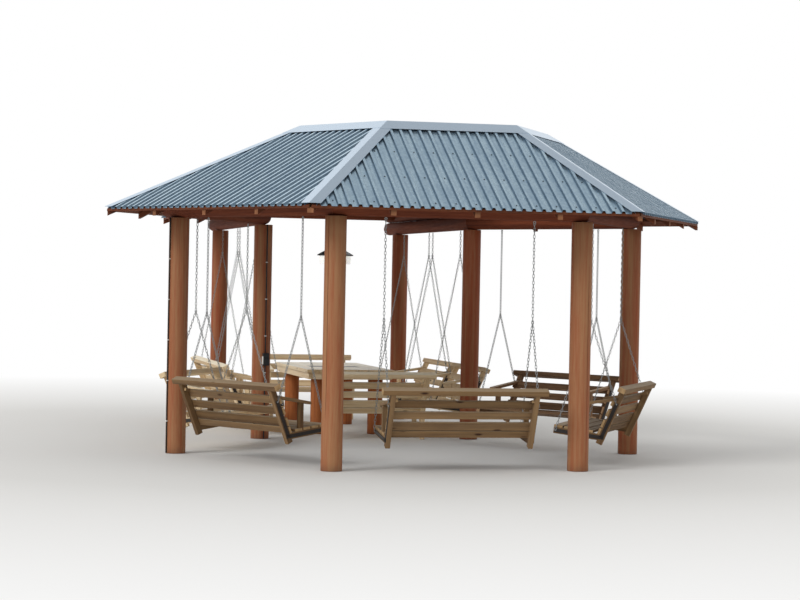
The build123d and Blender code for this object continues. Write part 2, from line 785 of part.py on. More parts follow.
# Swings under the hall's sides and along both sides of the bay, each facing inward
swings = []
for face, face_name in enumerate(face_names):
    if face_name != "back":
        start, end = hall_corners[face], hall_corners[(face + 1) % 6]
        side_way = heading(start, end)
        middle = ((start[0] + end[0]) / 2, (start[1] + end[1]) / 2)
        swings.append((face_name, middle, (-side_way[1], side_way[0]), bench_length, hall_ring_height))
for side_name, start, end, turn in (("bay_left", back_left_post, bay_left_post, -1),
                                    ("bay_right", back_right_post, bay_right_post, 1)):
    side_way = heading(start, end)
    facing = (-side_way[1] * turn, side_way[0] * turn)
    for place_name, place in zip(("near", "far"), bay_swing_places):
        spot = along(start, side_way, place)
        swings.append((f"{side_name}_{place_name}", spot, facing, bay_bench_length, bay_ring_height))

for swing_name, spot, facing, length, ring_height in swings:
    with BuildPart() as bench:
        bench_timbers(spot, facing, length, heel_height, False)
    finish(bench, f"bench_{swing_name}")
    with BuildPart() as hangers:
        hanger(spot, facing, length, ring_height)
    finish(hangers, f"hangers_{swing_name}")

# Standing benches at both ends of the table
for bench_name, place, facing, heel_level in (("near", near_bench_place, (0, 1), near_heel_height),
                                              ("far", far_bench_place, (0, -1), far_heel_height)):
    with BuildPart() as standing_bench:
        bench_timbers(from_hall(place), facing, standing_bench_length, heel_level, True)
    finish(standing_bench, f"bench_standing_{bench_name}")

# Table: boards on an apron frame, over four round log legs
table_centre = from_hall(table_place)
half_width, half_length = table_width / 2, table_length / 2
apron_top = table_height - table_board_thick
with BuildPart() as table_top:
    board_width = (table_width - (table_boards - 1) * table_board_gap) / table_boards
    for k in range(table_boards):
        x = table_centre[0] - half_width + k * (board_width + table_board_gap)
        with BuildSketch(Plane.XY.offset(apron_top)) as table_board:
            with Locations((x + board_width / 2, table_centre[1])):
                Rectangle(board_width, table_length)
        extrude(table_board.sketch, amount=table_board_thick, dir=(0, 0, 1))
    with BuildSketch(Plane.XY.offset(apron_top - apron_depth)) as apron:
        with Locations(table_centre):
            Rectangle(table_width - 2 * apron_setback, table_length - 2 * apron_setback)
            inside = 2 * (apron_setback + apron_thick)
            Rectangle(table_width - inside, table_length - inside, mode=Mode.SUBTRACT)
            Rectangle(table_width - 2 * apron_setback, apron_thick)
    extrude(apron.sketch, amount=apron_depth, dir=(0, 0, 1))
finish(table_top, "table_top")

with BuildPart() as table_legs:
    with BuildSketch() as leg_plan:
        for x_side in (-1, 1):
            for y_side in (-1, 1):
                with Locations((table_centre[0] + x_side * (half_width - table_leg_inset[0]),
                                table_centre[1] + y_side * (half_length - table_leg_inset[1]))):
                    Circle(table_leg_radius)
    extrude(leg_plan.sketch, amount=apron_top - joint_gap, dir=(0, 0, 1))
finish(table_legs, "table_legs")

# Lantern on a short arm behind the front left post
lantern_way = (cos(radians(lantern_turn)), sin(radians(lantern_turn)))
lantern_spot = along(front_left_post, lantern_way, lantern_reach)
arm_start = along(front_left_post, lantern_way, post_radius + joint_gap)
arm_middle = lantern_level + lantern_cap_height - lantern_arm_size
with BuildPart() as lantern_cap:
    with Locations((*lantern_spot, lantern_level)):
        Cone(lantern_cap_radius, lantern_cap_top, lantern_cap_height,
             align=(Align.CENTER, Align.CENTER, Align.MIN))
    arm_plane = Plane(origin=(*arm_start, arm_middle), x_dir=(-lantern_way[1], lantern_way[0], 0),
                      z_dir=(*lantern_way, 0))
    with BuildSketch(arm_plane) as arm_section:
        Rectangle(lantern_arm_size, lantern_arm_size)
    extrude(arm_section.sketch, amount=lantern_reach - post_radius, dir=(*lantern_way, 0))
finish(lantern_cap, "lantern_cap")

with BuildPart() as lantern_glass:
    with Locations((*lantern_spot, lantern_level - joint_gap - lantern_glass_height)):
        Cone(lantern_glass_foot, lantern_glass_radius, lantern_glass_height,
             align=(Align.CENTER, Align.CENTER, Align.MIN))
finish(lantern_glass, "lantern_glass")

# Cables clipped to two posts; the rear one stops at the socket and goes on below it
socket_foot = socket_level - socket_height / 2 - joint_gap
socket_head = socket_level + socket_height / 2 + joint_gap
cable_top = post_height - joint_gap
cable_runs = [
    ("post_left", left_cable_turn, cable_foot, cable_top),
    ("post_back_left", socket_turn, cable_foot, socket_foot),
    ("post_back_left", socket_turn, socket_head, cable_top),
]
with BuildPart() as cables:
    for post_name, turn, low, high in cable_runs:
        away = (cos(radians(turn)), sin(radians(turn)))
        with BuildSketch(Plane.XY.offset(low)) as cable_plan:
            with Locations(along(post_plan[post_name], away, post_radius + cable_radius + joint_gap)):
                RegularPolygon(cable_radius, 8)
        extrude(cable_plan.sketch, amount=high - low, dir=(0, 0, 1))
finish(cables, "power_cables")

with BuildPart() as socket:
    away = (cos(radians(socket_turn)), sin(radians(socket_turn)))
    socket_start = along(back_left_post, away, post_radius + joint_gap)
    socket_plane = Plane(origin=(*socket_start, socket_level), x_dir=(-away[1], away[0], 0),
                         z_dir=(*away, 0))
    with BuildSketch(socket_plane) as socket_face:
        Rectangle(socket_width, socket_height)
    extrude(socket_face.sketch, amount=socket_depth, dir=(*away, 0))
finish(socket, "socket_box")
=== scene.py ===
# %% [markdown]
# # A garden gazebo of round logs
#
# The gazebo is a six-sided hall of round posts with a ribbed steel roof that is open at the top, and a
# gabled bay behind it. Swing benches hang on chains under the logs, and a table stands in the bay. The
# solids give each part its place. This lesson gives them the grain, the ribs, the chain links and the
# finishes that solids leave out. All lengths are in metres.

import bmesh
import bpy
import numpy as np
from mathutils import Matrix, Vector


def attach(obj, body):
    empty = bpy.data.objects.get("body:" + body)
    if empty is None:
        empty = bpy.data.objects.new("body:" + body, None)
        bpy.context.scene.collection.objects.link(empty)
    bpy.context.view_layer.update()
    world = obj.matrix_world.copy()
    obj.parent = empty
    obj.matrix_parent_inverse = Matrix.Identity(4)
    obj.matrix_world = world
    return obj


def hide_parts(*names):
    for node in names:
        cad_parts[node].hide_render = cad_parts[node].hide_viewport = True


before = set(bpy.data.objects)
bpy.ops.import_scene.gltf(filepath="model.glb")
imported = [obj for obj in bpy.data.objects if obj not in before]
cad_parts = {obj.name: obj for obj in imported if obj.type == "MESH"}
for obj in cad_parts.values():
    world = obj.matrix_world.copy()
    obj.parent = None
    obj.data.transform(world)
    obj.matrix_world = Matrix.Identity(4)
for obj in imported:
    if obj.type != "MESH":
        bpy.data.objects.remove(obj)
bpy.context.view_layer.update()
scene = bpy.context.scene

# %% [markdown]
# ## Sizes
#
# The pieces here must sit where the solids are, so the same sizes are written once more. Plan corners of
# the hall go round from the left post towards the front, and each roof face starts at the corner that has
# its number.

# %% Sizes of the frame and the roof
POST_RADIUS, POST_HEIGHT, LOG_RADIUS = 0.100, 2.330, 0.080
HALL_RADIUS, EAVE_RADIUS, OPENING_RADIUS = 2.350, 3.090, 1.290
EAVE_HEIGHT, OPENING_HEIGHT = 2.39394, 3.24694
BAY_DEPTH, BAY_OVERHANG, BAY_HALF = 3.465, 0.620, 1.145
BAY_EAVE_HALF, BAY_EAVE_HEIGHT, BAY_RIDGE_HEIGHT = 1.817, 2.47494, 3.23194
LOG_OVERRUN, CORNER_OVERRUN, TIE_RADIUS, TIE_CLEARANCE = 0.600, 0.190, 0.075, 0.0015
BATTEN_DEPTH, RAFTER_DEPTH, GAP = 0.028, 0.057, 0.0003
SIN60 = np.sin(np.radians(60))
hall_centre = np.array([0.0, ((EAVE_RADIUS - HALL_RADIUS) * SIN60 - BAY_DEPTH - BAY_OVERHANG) / 2])


def hexagon(radius, shift=(0.0, 0.0)):
    """Six plan corners: centre + shift + radius at 180, 240 ... 480 degrees."""
    turn = np.radians(180 + 60 * np.arange(6))
    return hall_centre + np.array(shift) + radius * np.stack([np.cos(turn), np.sin(turn)], axis=1)


hall = hexagon(HALL_RADIUS)
eave = hexagon(EAVE_RADIUS)
opening = hexagon(OPENING_RADIUS, (0.125, -0.030))
bay_end = hall[5][1] + BAY_DEPTH
bay_left, bay_right = np.array([-BAY_HALF, bay_end]), np.array([BAY_HALF, bay_end])
print("hall centre", hall_centre, "bay end", round(bay_end, 3))

# %% [markdown]
# ## From arrays to meshes
#
# Each new piece is a set of patches: vertices, faces, a UV map in metres along and around the piece, and
# marks that a material can read. `tone` is one board's own shade, `end` a sawn end, `pith` the way out from
# its middle, `crack` a drying crack, and `sky` how far a face looks up: woods turn paler there, partly as sun
# bleaching and partly as painted light from above, and the zinc paints shade on its rib flanks where it is
# low. Blender could grow these by hand with modifiers, but arrays keep every size exact and quick to change.

# %% Patches and meshes
MARKS = ("tone", "end", "pith", "crack")


def grid_faces(rows, cols, wrap=False, closed=False):
    """Quads of a rows x cols grid; wrap joins the last column to the first, and closed the last row."""
    row = np.arange(rows if closed else rows - 1)[:, None]
    col = np.arange(cols if wrap else cols - 1)[None, :]
    here, below, right = row * cols, (row + 1) % rows * cols, (col + 1) % cols
    return np.stack([here + col, here + right, below + right, below + col], axis=-1).reshape(-1, 4)


def grid_uv(along, around):
    """Corner UVs of the same quads, from grids with one column more than the quads have."""
    corners = [(slice(None, -1), slice(None, -1)), (slice(None, -1), slice(1, None)),
               (slice(1, None), slice(1, None)), (slice(1, None), slice(None, -1))]
    return np.stack([np.stack([along[c], around[c]], axis=-1) for c in corners], axis=2).reshape(-1, 2)


def patch(verts, faces, uv, skin=0, sawn=None, **marks):
    """One surface of a piece; a mark is one number or an array per vertex, and sawn flags each face."""
    count = len(verts)
    full = {m: np.broadcast_to(np.asarray(marks.get(m, 0.0), float), (count,)) for m in MARKS}
    return {"verts": np.asarray(verts, float), "faces": faces if isinstance(faces, list) else faces.tolist(),
            "uv": np.asarray(uv, float), "skin": skin, "marks": full, "sawn": sawn}


# %% Objects that ride on a body
def link_object(name, data):
    """Object with this data, linked to the scene."""
    made = bpy.data.objects.new(name, data)
    scene.collection.objects.link(made)
    return made


def add_mark(mesh, mark, domain, values):
    """Float attribute of a mesh, one value per vertex or face."""
    mesh.attributes.new(mark, "FLOAT", domain).data.foreach_set("value", values)


def dress(name, mesh, replaces, body="gazebo"):
    """Object that rides on a body and takes the place of some nodes."""
    piece = link_object(name, mesh)
    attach(piece, body)
    if replaces:
        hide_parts(*replaces)
    print(name, "faces", len(mesh.polygons))
    return piece


def make_piece(name, patches, materials, replaces=(), smooth=35, body="gazebo"):
    """Join patches into one object at the origin that rides on a body."""
    verts, faces, first = [], [], 0
    for p in patches:
        verts.append(p["verts"])
        faces.extend([[i + first for i in f] for f in p["faces"]])
        first += len(p["verts"])
    mesh = bpy.data.meshes.new(name)
    mesh.from_pydata(np.concatenate(verts).tolist(), [], faces)
    uv = np.concatenate([p["uv"] for p in patches])
    mesh.uv_layers.new(name="surface").data.foreach_set("uv", uv.ravel())
    if any(p["sawn"] is not None for p in patches):
        sawn = [np.zeros(len(p["faces"])) if p["sawn"] is None else np.asarray(p["sawn"], float)
                for p in patches]
        add_mark(mesh, "end", "FACE", np.concatenate(sawn))
    for mark in MARKS:
        values = np.concatenate([p["marks"][mark] for p in patches])
        if values.any():
            add_mark(mesh, mark, "POINT", values)
    normals = np.zeros(len(mesh.polygons) * 3)
    mesh.polygons.foreach_get("normal", normals)
    # `sky`: how far a face looks up; the finishes use it for painted light on tops and painted shade on rib
    # flanks.
    add_mark(mesh, "sky", "FACE", np.clip((normals[2::3] - 0.5) / 0.35, 0, 1))
    for material in materials:
        mesh.materials.append(material)
    skins = np.concatenate([[p["skin"]] * len(p["faces"]) for p in patches])
    mesh.polygons.foreach_set("material_index", skins)
    if smooth:
        mesh.polygons.foreach_set("use_smooth", np.ones(len(mesh.polygons), bool))
        mesh.set_sharp_from_angle(angle=np.radians(smooth))
    return dress(name, mesh, replaces, body)


def soften(piece, width=0.003, segments=2):
    """Small rounding along every arris."""
    edge = piece.modifiers.new("worn_edges", "BEVEL")
    edge.width, edge.segments, edge.limit_method = width, segments, "ANGLE"


# %% [markdown]
# ## Node groups
#
# Grain, weathering and the bloom of zinc show on more than one finish, so each is a node group that puts
# out masks and heights only. Every material places it with its own values. A small helper keeps the
# wiring short.

# %% Helpers for node trees
def linear(red, green, blue):
    """Linear colour of a display colour given as 0 to 255."""
    c = np.array([red, green, blue]) / 255
    return (*np.where(c <= 0.04045, c / 12.92, ((c + 0.055) / 1.055) ** 2.4).tolist(), 1.0)


class Wiring:
    """Adds nodes to a tree and links them: a value that is a socket is linked, any other is set."""

    def __init__(self, tree):
        self.tree = tree

    def add(self, kind, out=0, sockets=None, **settings):
        made = self.tree.nodes.new(kind)
        for key, value in settings.items():
            setattr(made, key, value)
        for key, value in (sockets or {}).items():
            self.feed(made.inputs[key], value)
        return made.outputs[out]

    def feed(self, socket, value):
        if isinstance(value, bpy.types.NodeSocket):
            self.tree.links.new(value, socket)
        else:
            socket.default_value = value

    def math(self, operation, a, b=0.0, clamp=False):
        return self.add("ShaderNodeMath", sockets={0: a, 1: b}, operation=operation, use_clamp=clamp)

    def times(self, a, b):
        return self.math("MULTIPLY", a, b)

    def vector(self, operation, a, b=(0.0, 0.0, 0.0), out=0):
        return self.add("ShaderNodeVectorMath", out, {0: a, 1: b}, operation=operation)

    def scaled(self, vector, scale):
        return self.vector("MULTIPLY", vector, scale)

    def mark(self, name):
        return self.add("ShaderNodeAttribute", 2, attribute_name=name)

    def noise(self, vector, scale=1.0, detail=3.0, rough=0.55):
        return self.add("ShaderNodeTexNoise", sockets={"Vector": vector, "Scale": scale, "Detail": detail,
                                                       "Roughness": rough})

    def ramp(self, value, low, high, start=0.0, end=1.0):
        return self.add("ShaderNodeMapRange", sockets={0: value, 1: low, 2: high, 3: start, 4: end})

    def mix(self, share, a, b, blend="MIX"):
        made = self.tree.nodes.new("ShaderNodeMix")
        made.data_type, made.blend_type = "RGBA", blend
        self.feed(made.inputs[0], share)
        self.feed(made.inputs[6], a)
        self.feed(made.inputs[7], b)
        return made.outputs[2]

    def shaded(self, colour, value):
        """Colour times one value."""
        grey = self.add("ShaderNodeCombineColor", sockets={0: value, 1: value, 2: value})
        return self.mix(1.0, colour, grey, "MULTIPLY")

    def group(self, tree, **sockets):
        """Place a node group and feed it; returns its outputs."""
        made = self.tree.nodes.new("ShaderNodeGroup")
        made.node_tree = tree
        for key, value in sockets.items():
            self.feed(made.inputs[key], value)
        return made.outputs


def node_group(name, values, outputs):
    """Group that takes a place and named values; returns its wiring, its input and its output sockets."""
    tree = bpy.data.node_groups.new(name, "ShaderNodeTree")
    tree.interface.new_socket("Place", in_out="INPUT", socket_type="NodeSocketVector")
    for label, value in values.items():
        tree.interface.new_socket(label, in_out="INPUT", socket_type="NodeSocketFloat").default_value = value
    for label in outputs:
        tree.interface.new_socket(label, in_out="OUTPUT", socket_type="NodeSocketFloat")
    return Wiring(tree), tree.nodes.new("NodeGroupInput").outputs, tree.nodes.new("NodeGroupOutput").inputs


# %% Grain of wood
g, given, put = node_group("wood_grain", {"Shift": 0.0, "Fibres": 260.0, "Knots": 0.0},
                           ["Fibre", "Band", "Knot", "Height"])
steps = {0: g.times(given["Shift"], 37.0), 1: g.times(given["Shift"], 11.0), 2: given["Shift"]}
moved = g.vector("ADD", given["Place"], g.add("ShaderNodeCombineXYZ", sockets=steps))
sway = g.add("ShaderNodeTexNoise", 1, {"Vector": moved, "Scale": 1.6, "Detail": 2.0})
sway = g.scaled(sway, (0.0, 0.02, 0.0))
moved = g.vector("ADD", moved, sway)
across = g.add("ShaderNodeCombineXYZ", sockets={0: 5.0, 1: given["Fibres"], 2: 5.0})
fibre = g.noise(g.scaled(moved, across), detail=4.0, rough=0.65)
g.feed(put["Fibre"], fibre)
g.feed(put["Band"], g.noise(g.scaled(moved, (0.7, 22.0, 1.0)), detail=2.0))
spots = g.add("ShaderNodeTexVoronoi", sockets={"Vector": g.scaled(moved, (2.6, 8.0, 1.0)), "Scale": 1.0})
knot = g.times(g.ramp(spots, 0.13, 0.05), given["Knots"])
g.feed(put["Knot"], knot)
g.feed(put["Height"], g.math("ADD", fibre, g.times(knot, 0.6)))
grain_group = g.tree

# %% Weathering: slow blotches, and dirt that splashes up from the ground
g, given, put = node_group("weathering", {"Scale": 3.0, "Splash": 0.3}, ["Blotch", "Speckle", "Foot"])
g.feed(put["Blotch"], g.ramp(g.noise(given["Place"], given["Scale"], 4.0, 0.6), 0.35, 0.7))
g.feed(put["Speckle"], g.ramp(g.noise(given["Place"], 90.0, 3.0, 0.7), 0.5, 0.75))
height = g.add("ShaderNodeSeparateXYZ", 2, {0: given["Place"]})
ragged = g.math("ADD", height, g.times(g.noise(given["Place"], 14.0, 3.0), 0.12))
g.feed(put["Foot"], g.math("SUBTRACT", 1.0, g.math("DIVIDE", ragged, given["Splash"]), clamp=True))
weather_group = g.tree

# %% Zinc: crystals, and streaks that rain leaves down the slope
g, given, put = node_group("zinc_bloom", {"Crystals": 60.0}, ["Crystal", "Streak", "Height"])
cells = g.add("ShaderNodeTexVoronoi", 1, {"Vector": given["Place"], "Scale": given["Crystals"]})
g.feed(put["Crystal"], g.add("ShaderNodeSeparateColor", sockets={0: cells}))
g.feed(put["Streak"], g.ramp(g.noise(g.scaled(given["Place"], (1.3, 24.0, 1.0)), 1.0, 4.0, 0.6), 0.3, 0.75))
g.feed(put["Height"], g.noise(given["Place"], 3.0, 2.0))
zinc_group = g.tree
print("groups", [t.name for t in bpy.data.node_groups])


# %% [markdown]
# ## Wood finishes
#
# The posts and logs were stained orange-brown, which the sun has left lighter on some and redder on
# others. The boards are bare, silvered by rain to a different shade each, and paler where they face up,
# partly as sun bleaching and partly as painted light from above. One function writes all of them: two
# colours mixed by the grain, a tone for each piece, pale rings on sawn ends, and dark cracks. The table's top
# also has a dark patch, as a ragged rectangle.

# %% Materials
def new_material(name, plain=()):
    """Material with a Principled shader and its plain values; returns it, its wiring and the shader."""
    material = bpy.data.materials.new(name)
    material.use_nodes = True
    material.node_tree.nodes.clear()
    w = Wiring(material.node_tree)
    shader = material.node_tree.nodes.new("ShaderNodeBsdfPrincipled")
    surface = material.node_tree.nodes.new("ShaderNodeOutputMaterial")
    material.node_tree.links.new(shader.outputs[0], surface.inputs[0])
    for label, value in dict(plain).items():
        shader.inputs[label].default_value = value
    return material, w, shader


def relief(w, shader, height, strength, distance):
    """Bumps on the surface from a height."""
    w.feed(shader.inputs["Normal"], w.add("ShaderNodeBump", sockets={
        "Height": height, "Strength": strength, "Distance": distance}))


def patch_mask(w, place, centre, half):
    """Ragged rectangle in plan: 1 inside, 0 outside."""
    aside = w.vector("SUBTRACT", place, (*centre, 0.0))
    near = w.vector("ABSOLUTE", w.scaled(aside, (1 / half[0], 1 / half[1], 0.0)))
    parts = [w.add("ShaderNodeSeparateXYZ", k, {0: near}) for k in (0, 1)]
    reach = w.math("ADD", w.math("MAXIMUM", *parts), w.times(w.noise(place, 12.0, 3.0), 0.1))
    return w.ramp(reach, 1.1, 1.0, 0.0, 0.9)


# %% One function for every wood
def wood(name, light, dark, end_colour, grey=None, grey_share=0.0, fibres=260.0, knots=0.0, gloss=0.62,
         splash=0.12, spread=0.35, lean=0.0, top_bleach_and_light=None, dark_patch=None):
    """Wood: mix(dark, light, grain), shaded by the piece's tone, paler on top as sun bleaching and painted
    light, with ends and cracks.
    """
    material, w, shader = new_material(name, {"Specular IOR Level": 0.15})
    place = w.add("ShaderNodeTexCoord", 3)
    surface = w.add("ShaderNodeUVMap", uv_map="surface")
    tone, end = w.mark("tone"), w.mark("end")
    grain = w.group(grain_group, Place=surface, Shift=tone, Fibres=fibres, Knots=knots)
    wear = w.group(weather_group, Place=place, Scale=2.3, Splash=splash)
    share = w.math("ADD", w.times(grain["Fibre"], 0.45), w.times(grain["Band"], 0.65))
    leaning = w.times(w.math("SUBTRACT", tone, 0.5), lean)
    pale_share = w.math("ADD", w.ramp(share, 0.38, 0.72), leaning, clamp=True)
    colour = w.mix(pale_share, linear(*dark), linear(*light))
    if grey:
        amount = w.times(w.math("ADD", w.times(wear["Blotch"], 0.6), tone), grey_share)
        colour = w.mix(w.math("MINIMUM", amount, 0.9), colour, linear(*grey))
    # Paler where the face looks up: partly sun bleaching, partly painted light from above.
    if top_bleach_and_light:
        colour = w.mix(w.times(w.mark("sky"), w.ramp(share, 0.3, 0.6, 0.5, 0.9)), colour, linear(*top_bleach_and_light))
    colour = w.shaded(colour, w.ramp(tone, 0.0, 1.0, 1.0 - spread, 1.0 + spread * 0.4))
    colour = w.mix(grain["Knot"], colour, linear(60, 38, 26))
    ragged = w.math("ADD", w.mark("pith"), w.times(w.noise(place, 9.0, 2.0), 0.25))
    rings = w.ramp(w.math("SINE", w.times(ragged, 70.0)), -1.0, 1.0, 0.72, 1.0)
    colour = w.mix(end, colour, w.shaded(linear(*end_colour), rings))
    if splash:
        colour = w.mix(w.times(wear["Foot"], 0.55), colour, linear(92, 82, 74))
    colour = w.mix(w.math("MULTIPLY", w.mark("crack"), 1.0, clamp=True), colour, linear(38, 22, 16))
    # A dark ragged rectangle on the table's top, drawn in the colour.
    if dark_patch:
        colour = w.mix(patch_mask(w, place, *dark_patch), colour, linear(52, 42, 34))
    w.feed(shader.inputs["Base Color"], colour)
    w.feed(shader.inputs["Roughness"], w.ramp(grain["Fibre"], 0.3, 0.7, gloss + 0.12, gloss - 0.08))
    relief(w, shader, grain["Height"], 0.35, 0.0015)
    return material


# %% Finishes of posts, logs, roof timber and boards
post_wood = wood("stained_posts", (163, 118, 83), (150, 78, 50), (190, 160, 122), gloss=0.5, fibres=120.0,
                 spread=0.1, lean=1.5)
beam_wood = wood("stained_logs", (134, 70, 44), (94, 46, 32), (206, 170, 126), gloss=0.75, fibres=120.0,
                 splash=0.0)
roof_wood = wood("roof_timber", (134, 76, 48), (94, 50, 33), (146, 98, 68), fibres=200.0, knots=0.6)
bench_wood = wood("bench_boards", (156, 120, 78), (96, 67, 43), (186, 154, 112), (126, 112, 90), 0.3,
                  knots=1.0, spread=0.45, top_bleach_and_light=(158, 138, 112))
# Boards of the bay and standing benches: paler wood, and paler still as painted light where the roof shades
# them.
pale_lit_wood = wood("pale_lit_bench_boards", (250, 226, 184), (204, 168, 122), (232, 208, 168), (214, 200, 176), 0.2,
                 knots=1.0, spread=0.25, top_bleach_and_light=(252, 240, 214))
# Boards of the bench deep in the roof's shade, painted lighter than the front benches' boards as painted
# light.
shade_lightened_wood = wood("shaded_bench_boards", (182, 142, 104), (122, 90, 64), (200, 162, 124), (146, 122, 100),
                 0.25, knots=1.0, spread=0.5, top_bleach_and_light=(222, 194, 162))
# The table's boards are pale pine, and its top is made paler still as painted light from above.
table_wood = wood("table_boards", (250, 230, 192), (222, 192, 150), (230, 202, 158), (232, 220, 200), 0.25,
                  knots=0.4, gloss=0.4, spread=0.1, top_bleach_and_light=(255, 246, 226),
                  dark_patch=((-0.087, 1.76), (0.29, 0.15)))
leg_wood = wood("table_legs", (196, 120, 70), (150, 84, 50), (206, 172, 130), gloss=0.55, fibres=120.0)
print("wood finishes ready")


# %% [markdown]
# ## Metal, glass and plastic
#
# The roof is galvanised sheet: blue-grey, half dull, with a faint bloom of crystals, and it takes the pale
# sky at a low angle. Flashings are the same metal, newer. Chains are grey zinc and the straps on the
# benches black. Plain values such as the metal share are set on the shader itself.

# %% Metal
def zinc(name, pale, deep, metal, rough, crystals, painted_flank_shade=None):
    """Galvanised steel: two greys mixed by crystals and rain streaks, and painted shade on the flanks of
    ribs.
    """
    material, w, shader = new_material(name, {"Metallic": metal})
    place = w.add("ShaderNodeTexCoord", 3)
    bloom = w.group(zinc_group, Place=w.add("ShaderNodeUVMap", uv_map="surface"), Crystals=crystals)
    wear = w.group(weather_group, Place=place, Scale=1.2, Splash=0.05)
    share = w.math("ADD", w.times(bloom["Crystal"], 0.35), w.times(bloom["Streak"], 0.65))
    colour = w.mix(share, linear(*deep), linear(*pale))
    colour = w.mix(w.times(wear["Speckle"], 0.18), colour, linear(96, 100, 100))
    # Painted shade: rib flanks, which face away from the sky, turn a darker blue-grey.
    if painted_flank_shade:
        colour = w.mix(w.ramp(w.mark("sky"), 0.0, 1.0, 0.65, 0.0), colour, linear(*painted_flank_shade))
    w.feed(shader.inputs["Base Color"], colour)
    w.feed(shader.inputs["Roughness"], w.ramp(bloom["Streak"], 0.0, 1.0, rough + 0.08, rough - 0.05))
    relief(w, shader, bloom["Height"], 0.25, 0.004)
    return material


roof_zinc = zinc("galvanised_sheet", (208, 234, 248), (150, 180, 204), 0.8, 0.28, 40.0, (62, 84, 106))
flash_zinc = zinc("galvanised_flashing", (216, 232, 246), (176, 198, 220), 0.85, 0.28, 40.0)
chain_zinc = zinc("galvanised_chain", (196, 198, 198), (140, 144, 146), 0.7, 0.42, 300.0)


# %% Paint, plastic and opal glass
def coated(name, colour, rough, worn, metal=0.0):
    """Paint or plastic: one colour, dulled in speckles."""
    material, w, shader = new_material(name, {"Metallic": metal})
    wear = w.group(weather_group, Place=w.add("ShaderNodeTexCoord", 3), Scale=60.0, Splash=0.02)
    w.feed(shader.inputs["Base Color"], w.mix(w.times(wear["Blotch"], 0.5), linear(*colour), linear(*worn)))
    w.feed(shader.inputs["Roughness"], w.ramp(wear["Speckle"], 0.0, 1.0, rough, rough + 0.2))
    return material


strap_black = coated("black_strap", (34, 30, 28), 0.5, (58, 48, 42))
screw_dark = coated("screw_heads", (70, 78, 84), 0.45, (44, 46, 48), metal=0.6)
enamel = coated("black_enamel", (20, 20, 20), 0.3, (38, 37, 36))
cable_black = coated("cable_cover", (30, 27, 26), 0.55, (52, 48, 45))
clip_white = coated("white_plastic", (222, 220, 214), 0.4, (184, 180, 172))
socket_black = coated("black_plastic", (24, 25, 28), 0.35, (44, 44, 46))

# The glass glows faintly (emission 0.35) as painted light: daylight through it, while the lamp is off.
opal, w, shader = new_material("opal_glass", {
    "Roughness": 0.12, "Subsurface Weight": 0.2,
    "Emission Color": (1.0, 1.0, 0.97, 1.0), "Emission Strength": 0.35})
cloud = w.group(weather_group, Place=w.add("ShaderNodeTexCoord", 3), Scale=12.0, Splash=0.02)
milk = w.mix(w.times(cloud["Blotch"], 0.4), linear(246, 246, 242), linear(222, 222, 214))
w.feed(shader.inputs["Base Color"], milk)
print("finishes", len(bpy.data.materials))


# %% [markdown]
# ## Posts and logs
#
# Each log is a peeled, turned trunk. One surface does for all: a ring of points carried along the axis,
# where each ring may be tilted by the mitre or butt cut at its end. The ends close with rings that narrow
# on the cut plane, so that growth rings can be drawn there. Drying cracks are narrow grooves in the
# surface itself, because their dark line shows from far away.

# %% Log surface
LOG_CHAMFER, RING_STEP, LOG_WAVE = 0.004, 0.12, 0.006
CRACK_HALF, CRACK_FADE, CRACK_SWAY = np.radians(0.9), 0.12, 0.02


def turn_between(a, b):
    """Signed angle from b to a, from -pi to pi."""
    return (a - b + np.pi) % (2 * np.pi) - np.pi


